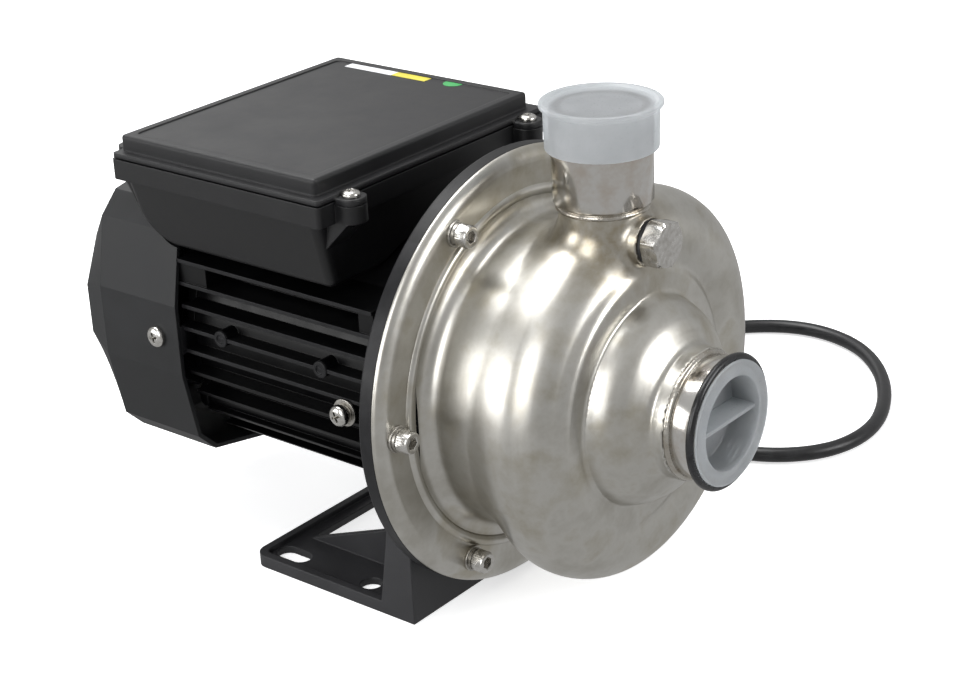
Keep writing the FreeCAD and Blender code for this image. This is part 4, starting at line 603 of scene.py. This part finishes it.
def skin_mesh(name, distance, low, high, cell):
    """Quads on the zero level of a distance: one point in each cell that the level crosses."""
    axes = [np.arange(a, b + cell, cell) for a, b in zip(low, high)]
    grid = np.meshgrid(*axes, indexing="ij")
    level = distance(*grid)
    inside = level < 0
    shape = tuple(n - 1 for n in level.shape)
    total = np.zeros(shape + (3,))
    count = np.zeros(shape)
    corners = [(i, j, k) for i in (0, 1) for j in (0, 1) for k in (0, 1)]
    for a in corners:
        for axis in range(3):
            if a[axis]:
                continue
            b = tuple(v + (n == axis) for n, v in enumerate(a))
            first = tuple(slice(v, v + n) for v, n in zip(a, shape))
            second = tuple(slice(v, v + n) for v, n in zip(b, shape))
            crossed = inside[first] != inside[second]
            share = np.where(crossed, level[first] / (level[first] - level[second] + 1e-12), 0)
            for n in range(3):
                base = a[n] + (share if n == axis else 0)
                total[..., n] += np.where(crossed, base, 0)
            count += crossed
    used = count > 0
    index = -np.ones(shape, int)
    index[used] = np.arange(used.sum())
    cells = np.argwhere(used)
    points = (cells + total[used] / count[used][:, None]) * cell + np.array([a[0] for a in axes])
    faces = []
    for axis in range(3):
        u, v = (axis + 1) % 3, (axis + 2) % 3
        first = [slice(None)] * 3
        second = [slice(None)] * 3
        first[axis], second[axis] = slice(0, -1), slice(1, None)
        change = inside[tuple(first)].astype(int) - inside[tuple(second)].astype(int)
        edges = np.argwhere(change != 0)
        signs = change[change != 0]
        keep = (edges[:, u] > 0) & (edges[:, v] > 0) & (edges[:, u] < shape[u]) & (edges[:, v] < shape[v])
        edges, signs = edges[keep], signs[keep]
        around = []
        for du, dv in ((-1, -1), (0, -1), (0, 0), (-1, 0)):
            place = edges.copy()
            place[:, u] += du
            place[:, v] += dv
            around.append(index[place[:, 0], place[:, 1], place[:, 2]])
        quads = np.stack(around, 1)
        quads[signs < 0] = quads[signs < 0][:, ::-1]
        faces.append(quads)
    faces = np.concatenate(faces)

    def slope(p, step=0.15):
        result = np.zeros_like(p)
        for n in range(3):
            ahead, behind = p.copy(), p.copy()
            ahead[:, n] += step
            behind[:, n] -= step
            result[:, n] = (distance(*ahead.T) - distance(*behind.T)) / (2 * step)
        return result

    for _ in range(3):
        way = slope(points)
        size = np.maximum((way ** 2).sum(1), 0.2)
        move = -(distance(*points.T) / size)[:, None] * way
        points += np.clip(move, -0.5, 0.5)
    normals = slope(points)
    normals /= np.maximum(np.linalg.norm(normals, axis=1), 1e-6)[:, None]
    mesh = bpy.data.meshes.new(name)
    mesh.from_pydata((points * MM + np.array(SHAFT)).tolist(), [], faces.tolist())
    mesh.shade_smooth()
    mesh.normals_split_custom_set_from_vertices(normals.tolist())
    mesh.update()
    return mesh


def make_casing():
    """The casing's pressed skin, and its flange."""
    mesh = skin_mesh("casing_pressing", sheet_form, (-76, -99, -100), (100, 1, 88), 1.3)
    mesh.materials.append(STEEL)
    skin = bpy.data.objects.new("casing_pressing", mesh)
    carried(skin, "pump", ["pump_casing"])
    # The rolled bead round the drum, and the lip that turns back at the rim, as radius and height.
    bead_r, bead_middle, bead_bend = 80.5, 3.347, 2.753
    rim_r, rim_middle, rim_bend, rim_turn = 93.5, -3.286, 7.786, 0.988
    bead = []
    for i in range(9):
        turn = math.radians(-66 + 132 * i / 8)
        bead.append((bead_r + bead_bend * math.sin(turn), bead_middle + bead_bend * math.cos(turn)))
    lip = [(rim_r + rim_bend * math.sin(t), rim_middle + rim_bend * math.cos(t))
           for t in np.linspace(0, rim_turn, 7)]
    profile = [(76.4, 0.05), (76.4, 4.3), (77.8, 4.48)] + bead + [(84.2, 4.5), (93.0, 4.5)] + lip
    profile += [(100, 0.5), (99.9, 0.05)]
    flange = put(lathe(profile, 192), pump(0, 0, 0), FORWARD)
    piece("casing_flange", flange, STEEL, "pump", ["pump_casing"])


make_casing()


# Fasteners

def hexed(across, angle):
    """How far a hexagon of a width over flats reaches at an angle."""
    return across / 2 / math.cos((angle + math.pi / 6) % (math.pi / 3) - math.pi / 6)


def cut(form, tool):
    """Take one form away from another."""
    things = []
    for source in (form, tool):
        bmesh.ops.recalc_face_normals(source, faces=source.faces)
        mesh = bpy.data.meshes.new("scratch")
        source.to_mesh(mesh)
        source.free()
        things.append(bpy.data.objects.new("scratch", mesh))
        bpy.context.scene.collection.objects.link(things[-1])
    less = things[0].modifiers.new("less", "BOOLEAN")
    less.operation, less.object, less.solver = "DIFFERENCE", things[1], "EXACT"
    seen = things[0].evaluated_get(bpy.context.evaluated_depsgraph_get())
    result = bmesh.new()
    result.from_mesh(seen.to_mesh())
    for thing in things:
        bpy.data.objects.remove(thing)
    return result


def block(half_x, half_y, low, high, end_x=None, end_y=None):
    """An upright tapered block in mm: half sizes at the top, and at the bottom where they differ."""
    form = bmesh.new()
    corners = []
    for x, y, z in ((end_x or half_x, end_y or half_y, low), (half_x, half_y, high)):
        corners.append([form.verts.new((sx * x * MM, sy * y * MM, z * MM))
                        for sx, sy in ((-1, -1), (1, -1), (1, 1), (-1, 1))])
    form.faces.new(corners[0][::-1])
    form.faces.new(corners[1])
    for i in range(4):
        k = (i + 1) % 4
        form.faces.new((corners[0][i], corners[0][k], corners[1][k], corners[1][i]))
    return form


def repeated(unit, places):
    """Copies of an upright form, each at an origin, along a direction and turned about it."""
    whole = joined([put(unit.copy(), origin, way, spin) for origin, way, spin in places])
    unit.free()
    return whole


def socket_screw(radius, height, key, shank, length):
    """A cap screw with a knurled head and a hexagon socket."""
    def shape(reach, level, angle):
        if reach <= key * 0.6 and level > height * 0.3:
            return hexed(key, angle)
        ridge = reach == radius and round(angle * 36 / math.pi) % 2
        return reach - 0.16 if ridge else reach

    lip = key * 0.6
    profile = [(0, -length), (shank - 0.5, -length), (shank, -length + 0.5), (shank, 0), (radius - 0.3, 0),
               (radius, 0.3), (radius, height - 0.9), (radius - 0.35, height - 0.25), (radius - 0.8, height),
               (lip + 0.35, height), (lip, height - 0.25), (lip, height * 0.42), (lip * 0.9, height * 0.38),
               (0, height * 0.25)]
    return lathe(profile, 72, False, shape)


def pan_screw(radius, height, shank, length):
    """A pan head with a cross recess."""
    dome = []
    for k in range(9):
        turn = math.pi / 2 * k / 8
        dome.append((radius * (0.35 + 0.65 * math.cos(turn)), 0.35 * height + 0.65 * height * math.sin(turn)))
    profile = [(0, -length), (shank, -length), (shank, 0), (radius - 0.2, 0), (radius, 0.2)]
    profile += dome + [(0, height)]
    head = lathe(profile, 64, False)
    for spin in (0, math.pi / 2):
        slot = block(radius * 0.58, radius * 0.13, height * 0.15, height * 1.2, radius * 0.25, radius * 0.07)
        head = cut(head, put(slot, Vector((0, 0, 0)), UP, spin))
    return head


def ring(inner, outer, low, high, edge=0.2, turns=64):
    """A flat ring, its edges eased."""
    corners = [(inner, low, edge), (outer, low, edge), (outer, high, edge), (inner, high, edge)]
    return lathe(eased(corners, 3), turns)


def split_washer(inner, outer, low, high, steps=48):
    """A helical spring washer, its ends apart where it is split."""
    form = bmesh.new()
    rows = []
    for i in range(steps + 1):
        angle = math.radians(5 + 350 * i / steps)
        rise = (high - low) * 0.12 * (i / steps - 0.5)
        corners = ((inner, low + 0.1), (outer, low + 0.1), (outer, high - 0.1), (inner, high - 0.1))
        rows.append([form.verts.new((r * MM * math.cos(angle), r * MM * math.sin(angle), (z + rise) * MM))
                     for r, z in corners])
    for a, b in zip(rows, rows[1:]):
        for i in range(4):
            k = (i + 1) % 4
            form.faces.new((a[i], a[k], b[k], b[i]))
    form.faces.new(rows[0])
    form.faces.new(rows[-1][::-1])
    return form


SCREW_CIRCLE = 89
COWL_HALF = 68
COWL_SCREW_Y = 162
EARTH_Y, EARTH_Z = 48, -11.35
LID_SCREWS = ((-61, 38.2, 0.3), (61, 38.2, 0.9), (-61, 171.8, 1.3), (61, 171.8, 0.1))


def make_screws():
    """Every fastener on its own seat, each turned by another angle, as hands leave them."""
    spots = [math.radians(60 * k) for k in range(6)]
    flange = [(SCREW_CIRCLE * math.cos(a), SCREW_CIRCLE * math.sin(a), 0.4 + 1.7 * k)
              for k, a in enumerate(spots)]

    def on_flange(y):
        return [(pump(x, y, z), FORWARD, spin) for x, z, spin in flange]

    piece("flange_cap_screws", repeated(socket_screw(5, 6, 5, 3, 15.8), on_flange(-7.3)), SCREW, "pump",
          ["casing_screws"], 30)
    piece("flange_spring_washers", repeated(split_washer(3.2, 5.2, 0, 1.6), on_flange(-5.7)), WASHER, "pump",
          ["casing_spring_washers"], 30)
    piece("flange_flat_washers", repeated(ring(3.2, 5.9, 0, 1.2), on_flange(-4.5)), WASHER, "pump",
          ["casing_flat_washers"], 30)
    lid = [(pump(x, y, 90.8), UP, spin) for x, y, spin in LID_SCREWS]
    piece("lid_cross_screws", repeated(pan_screw(4.2, 2.6, 2, 9), lid), SCREW, "pump",
          ["lid_screws"], 35)
    cowl = [(pump(COWL_HALF, COWL_SCREW_Y, 0), (1, 0, 0), 0.5),
            (pump(-COWL_HALF, COWL_SCREW_Y, 0), (-1, 0, 0), 0.2),
            (pump(0, COWL_SCREW_Y, -COWL_HALF), (0, 0, -1), 0.7)]
    piece("cowl_cross_screws", repeated(pan_screw(5.2, 3.2, 2, 8), cowl), SCREW, "pump", ["cowl_screws"],
          35)
    place = pump(-67.2, EARTH_Y, EARTH_Z)
    piece("earth_cross_screw", repeated(pan_screw(5, 3.6, 2.4, 9), [(place, (-1, 0, 0), 0.4)]), SCREW,
          "pump", ["earth_screw"], 35)
    stack = joined([ring(2.6, 6.4, 0, 1.2), ring(2.6, 4.6, 1.3, 3.3)])
    piece("earth_plain_washers", put(stack, pump(-63.8, EARTH_Y, EARTH_Z), (-1, 0, 0)), WASHER,
          "pump", ["earth_washers"], 30)


make_screws()


# Vent: a hexagon plug with a chamfered head on a soft washer

def make_vent():
    def shape(reach, level, angle):
        return min(reach, hexed(19, angle)) if level > 0.05 else reach

    profile = [(0, -9.5), (5.6, -9.5), (6.5, -8.6), (6.5, 0), (9.3, 0), (9.3, 0.04), (10.2, 0.3), (11.2, 0.9),
               (11.2, 7.4), (9.6, 8.2), (9.0, 8.4), (0, 8.4)]
    head = put(lathe(profile, 96, False, shape), pump(0, -73.5, VENT_Z), FORWARD, 0.26)
    piece("vent_hexagon_plug", head, SCREW, "vent", ["vent_plug"], 25)


make_vent()


# Ports: threaded nipples, weld beads and closures

def bead(radius, half, swell, ripples, turns=240):
    """A weld bead: a half round ring whose top is laid down in overlapping ripples."""
    def shape(reach, level, angle):
        wave = 0.5 + 0.5 * math.cos(ripples * angle + 0.6 * math.sin(5 * angle))
        return radius + (reach - radius) * (0.94 + 0.06 * wave)

    profile = [(radius + swell * math.cos(t), half * math.sin(t)) for t in np.linspace(-2.2, 2.2, 13)]
    return lathe(profile, turns, True, shape)


# The pipe thread of both ports has 11 turns to the inch.
PIPE_PITCH, PIPE_DEPTH = 2.309, 1.45


def make_ports():
    """Both threaded nipples, and the weld bead at the foot of each."""
    suction_bore, discharge_bore = 22.42, 15.15
    end, start = 111.5, 97.0
    outer = [(24.6, end), (25.6, end), (26.5, end - 0.35), (26.8, end - 1.1), (26.8, start + 0.6),
             (26.5, start), (suction_bore, start)]
    tube = threaded(suction_bore, outer, start + 0.2, end - 0.9, PIPE_PITCH, PIPE_DEPTH)
    piece("suction_nipple_threaded", put(tube, pump(0, 0, 0), FORWARD), BRIGHT, "pump", ["suction_nipple"],
          60)
    foot, top = 85.0, 127.9
    outer = [(17.0, top), (20.4, top), (21.2, top - 0.3), (21.5, top - 1), (21.5, foot + 3.2),
             (20.9, foot + 2.4), (19.05, foot), (discharge_bore, foot)]
    tube = threaded(discharge_bore, outer, foot + 0.2, top - 0.9, PIPE_PITCH, PIPE_DEPTH)
    piece("discharge_nipple_threaded", put(tube, pump(0, DISCHARGE_Y, 0), UP), BRIGHT, "pump",
          ["discharge_nipple"], 60)
    piece("suction_weld_bead", put(bead(27.0, 2.0, 1.5, 70), pump(0, -97.4, 0), FORWARD), BEAD, "pump", (),
          60)
    piece("discharge_weld_bead", put(bead(19.4, 1.1, 1.0, 62), pump(0, DISCHARGE_Y, 85.2), UP), BEAD, "pump",
          (), 60)


make_ports()


def make_closures():
    """The cap over the outlet, and the plug with its cross bar in the inlet."""
    cap = eased([(0, 129.0), (22.6, 129.0, 0.8), (23.8, 130.0, 0.4), (26, 130.0, 0.5), (26, 128.5, 0.5),
                 (24.3, 127.2, 0.8), (24, 110.3, 0.6), (21.8, 110.3, 0.4), (21.8, 127.9), (0, 127.9)])
    form = put(lathe(cap, 128, closed=False), pump(0, DISCHARGE_Y, 0), UP)
    piece("outlet_cap", form, POLYTHENE, "cap", ["discharge_cap"])
    cup = eased([(0, 97.5), (22.0, 97.5, 1.0), (22.0, 111.5), (27.4, 111.5, 0.4), (27.4, 113, 0.6),
                 (20.5, 113, 0.7), (20.5, 99.0, 0.8), (0, 99.0)])
    shell = put(lathe(cup, 128, closed=False), pump(0, 0, 0), FORWARD)
    bar = bmesh.new()
    bmesh.ops.create_cube(bar, size=1)
    bmesh.ops.scale(bar, vec=(41.4 * MM, 11.4 * MM, 2 * MM), verts=bar.verts)
    bmesh.ops.translate(bar, vec=pump(0, -104.9, 0), verts=bar.verts)
    bmesh.ops.bevel(bar, geom=list(bar.edges), offset=0.5 * MM, segments=3, affect="EDGES", profile=0.5)
    piece("inlet_plug", joined([shell, bar]), THIN_POLYTHENE, "suction_closure", ["suction_plug"])


make_closures()


def make_face_ring():
    """The loose black ring, which lies close behind the plug's lip."""
    ring_r, cord_r = 28.2, 1.75
    section = [(ring_r + cord_r * math.cos(t), cord_r * math.sin(t))
               for t in np.linspace(0, 2 * math.pi, 24, False)]
    form = put(lathe(section, 160), pump(0.4, -109.6, -0.3), FORWARD)
    piece("inlet_o_ring", form, RUBBER, "pump", ["suction_o_ring"])


make_face_ring()


# Frame and box trim

LID_FACE = 99.02
LABEL_T = 0.12


def make_trim():
    """Rivet pips on the frame, and three labels on the lid, left bare."""
    pips = []
    for side in (-1, 1):
        for y in (62, 124):
            outer = [(0, 0), (4, 0), (4, 0.5), (3.6, 0.9), (2.3, 0.9), (2.0, 0.3), (0, 0.2)]
            pips.append(put(lathe(outer, 40, False), pump(side * 63.2, y, 5.6), (side, 0, 0)))
    piece("frame_rivet_pips", joined(pips), PAINT, "pump", (), 30)

    def sticker(name, middle, half_x, half_y, spin, material):
        label = block(half_x, half_y, 0, LABEL_T)
        piece(name, put(label, pump(*middle), UP, spin), material, "pump", ())

    sticker("lid_label_white", (67.0, 137.0, LID_FACE), 4.8, 15.0, 0.0, WHITE_LABEL)
    sticker("lid_label_yellow", (67.6, 111.6, LID_FACE), 5.2, 10.4, 0.0, YELLOW_LABEL)
    dot = lathe([(0, 0), (5.0, 0), (5.0, LABEL_T), (0, LABEL_T)], 40, False)
    piece("lid_label_green", put(dot, pump(67.2, 87.0, LID_FACE), UP), GREEN_LABEL, "pump", ())


make_trim()


# Lead: its gland and bend sleeve, the run over the floor, the put-away coil and the plug

CORD_R = 3.8
CORD_POINTS = [
    (96, 77.5, 173.8), (110, 77.5, 172.5), (122.5, 77, 164), (131, 76, 148), (135, 74, 126), (137, 72, 101),
    (137, 70, 76), (136, 66, 52), (135, 57, 29), (135, 41, 12), (136, 18, 5), (139, -9, 4), (143, -36, 4),
    (148, -62, 4), (158, -88, 4), (180, -107, 4), (211, -111, 4), (244, -100, 4), (278, -78, 4),
    (302, -49, 4), (308, -14, 4), (292, 16, 4), (264, 37, 4), (235, 58, 4), (211, 85, 4), (199, 118, 4),
    (193, 150, 4), (191, 178, 4),
]
COIL_MIDDLE = (149, 190)
# The plug's tail, where the lead ends, and the way the plug points.
PLUG_TAIL = (107, 185, 19)
# Radius and height in mm of the lead's middle at each quarter of the coil's two and a half turns.
COIL_LEVELS = [(42, 4.0), (45, 4.0), (46, 4.2), (45, 7.5), (42.2, 12.2), (39.5, 10.5), (38, 5.6), (37.2, 4.6),
               (33.6, 4.8), (33, 17), (41, 19)]


def coil_points():
    """The lead's turns, counted from the +X side and laid anticlockwise as seen from above."""
    quarters = np.arange(len(COIL_LEVELS)) * 90.0
    radii, heights = np.array(COIL_LEVELS).T
    turns = []
    for angle in np.arange(15, 871, 22.5):
        radius = float(smooth_table(quarters, radii, np.array(angle)))
        height = float(smooth_table(quarters, heights, np.array(angle)))
        turn = math.radians(angle)
        x, y = COIL_MIDDLE
        turns.append((x + radius * math.cos(turn), y + radius * math.sin(turn), height))
    return turns


def make_cord():
    """The lead as one curve, from the gland to the plug's tail."""
    points = CORD_POINTS + coil_points() + [(108.6, 198, 18.3), (107, 190.5, 19), PLUG_TAIL]
    curve = bpy.data.curves.new("lead", "CURVE")
    curve.dimensions = "3D"
    curve.bevel_depth = CORD_R * MM
    curve.bevel_resolution = 5
    curve.resolution_u = 8
    curve.use_fill_caps = True
    spline = curve.splines.new("NURBS")
    spline.points.add(len(points) - 1)
    for target, (x, y, z) in zip(spline.points, points):
        target.co = (x * MM, y * MM, z * MM, 1)
    spline.order_u = 3
    spline.use_endpoint_u = True
    curve.materials.append(CORD)
    lead = bpy.data.objects.new("lead", curve)
    carried(lead, "pump", ["power_cord", "cord_coil"])
    return lead


def sleeve(name, controls, profile, sides=32):
    """A ribbed moulding round a bent line. The line goes through quadratic arcs between the middles of
    its controls; the profile gives radii by the share of the length."""
    joints = [Vector(controls[0])]
    joints += [(Vector(a) + Vector(b)) / 2 for a, b in zip(controls[1:-1], controls[2:])]
    joints[-1] = Vector(controls[-1])
    line = []
    for start, middle, stop in zip(joints, controls[1:-1], joints[1:]):
        for k in range(24):
            t = k / 24
            line.append(start * (1 - t) ** 2 + Vector(middle) * 2 * t * (1 - t) + stop * t * t)
    line.append(joints[-1])
    form = bmesh.new()
    rows = []
    for i, place in enumerate(line):
        way = (line[min(i + 1, len(line) - 1)] - line[max(i - 1, 0)]).normalized()
        across = way.cross(Vector((0, 1, 0))).normalized()
        other = way.cross(across)
        reach = profile(i / (len(line) - 1))
        rows.append([form.verts.new((place + (across * math.cos(a) + other * math.sin(a)) * reach) * MM)
                     for a in (2 * math.pi * k / sides for k in range(sides))])
    for a, b in zip(rows, rows[1:]):
        for i in range(sides):
            k = (i + 1) % sides
            form.faces.new((a[i], a[k], b[k], b[i]))
    form.faces.new(rows[0])
    form.faces.new(rows[-1][::-1])
    return piece(name, form, GLAND, "pump", (), 50)


GLAND_Y, GLAND_Z = 125, 68.8


def make_gland():
    """The gland's hexagon body and its ribbed nut."""
    def flats(across, low, high):
        return lambda reach, level, angle: min(reach, hexed(across, angle)) if low < level < high else reach

    body = [(0, -8), (8, -8), (8, 0), (9.6, 0), (9.6, 0.1), (11, 0.5), (12, 1.2), (12, 4.6), (10.4, 6.0),
            (8.2, 6.2), (8.2, 6.6), (0, 6.6)]
    base = put(lathe(body, 72, False, flats(20, 0.05, 6.1)), pump(74, GLAND_Y, GLAND_Z), (1, 0, 0), 0.1)
    piece("gland_hexagon_body", base, GLAND, "pump", ["cable_gland"], 30)

    def ribs(reach, level, angle):
        if 1.2 < level < 9.5:
            return min(reach, hexed(19, angle)) - (0.3 if round(angle * 30 / math.pi) % 2 else 0)
        return reach

    crown = [(0, 0), (8.6, 0), (9.3, 0.5), (9.5, 1.1), (11, 1.3), (11, 9.3), (9.4, 9.6), (9.2, 10.4),
             (8.6, 12.6), (7.4, 14.6), (6.2, 15.7), (5.4, 16), (4.4, 16), (4.2, 15.2), (0, 15.2)]
    nut = put(lathe(crown, 120, False, ribs), pump(80.2, GLAND_Y, GLAND_Z), (1, 0, 0), 0.1)
    piece("gland_ribbed_nut", nut, GLAND, "pump", ["gland_nut"], 30)


PLUG_LENGTH = 64


def make_plug():
    """The two-pin plug, with a ribbed grip."""
    def grip(reach, level, angle):
        if 26 < level < 50:
            return reach - 0.7 * (0.5 + 0.5 * math.cos(18 * angle)) * min(1, (level - 26) / 6)
        return reach

    profile = eased([(0, 0), (18.6, 0, 0.8), (19, 3.6, 0.6), (18.2, 4.4, 0.3), (19, 5.2, 0.6), (18.6, 20, 6),
                     (13.2, 30, 7), (11.6, 44, 4), (6.8, 53, 1), (5.2, 63.6, 0.6), (0, 63.6)], 6)
    origin = Vector(PLUG_TAIL) * MM + Vector((0, -PLUG_LENGTH, 0)) * MM
    body = put(lathe(profile, 108, False, grip), origin, (0, 1, 0))
    piece("two_pin_plug_body", body, GLAND, "pump", ["power_plug"], 35)
    pins = []
    for side in (-9.5, 9.5):
        pin = [(0, -19), (1.3, -19), (2.0, -18.5), (2.4, -17.4), (2.4, -9), (2.3, -8.8), (2.3, 0), (0, 0)]
        pins.append(put(lathe(pin, 32, False), origin + Vector((side * MM, 0, 0)), (0, 1, 0)))
    piece("plug_round_pins", joined(pins), SCREW, "pump", ["plug_pins"], 35)


lead = make_cord()
make_gland()
bend_end = tuple((a + b) / 2 for a, b in zip(CORD_POINTS[2], CORD_POINTS[3]))
sleeve("gland_bend_sleeve", list(CORD_POINTS[:3]) + [bend_end],
       lambda share: 5.9 - 1.6 * share - (0.45 if int(share * 22) % 2 else 0.0))
make_plug()
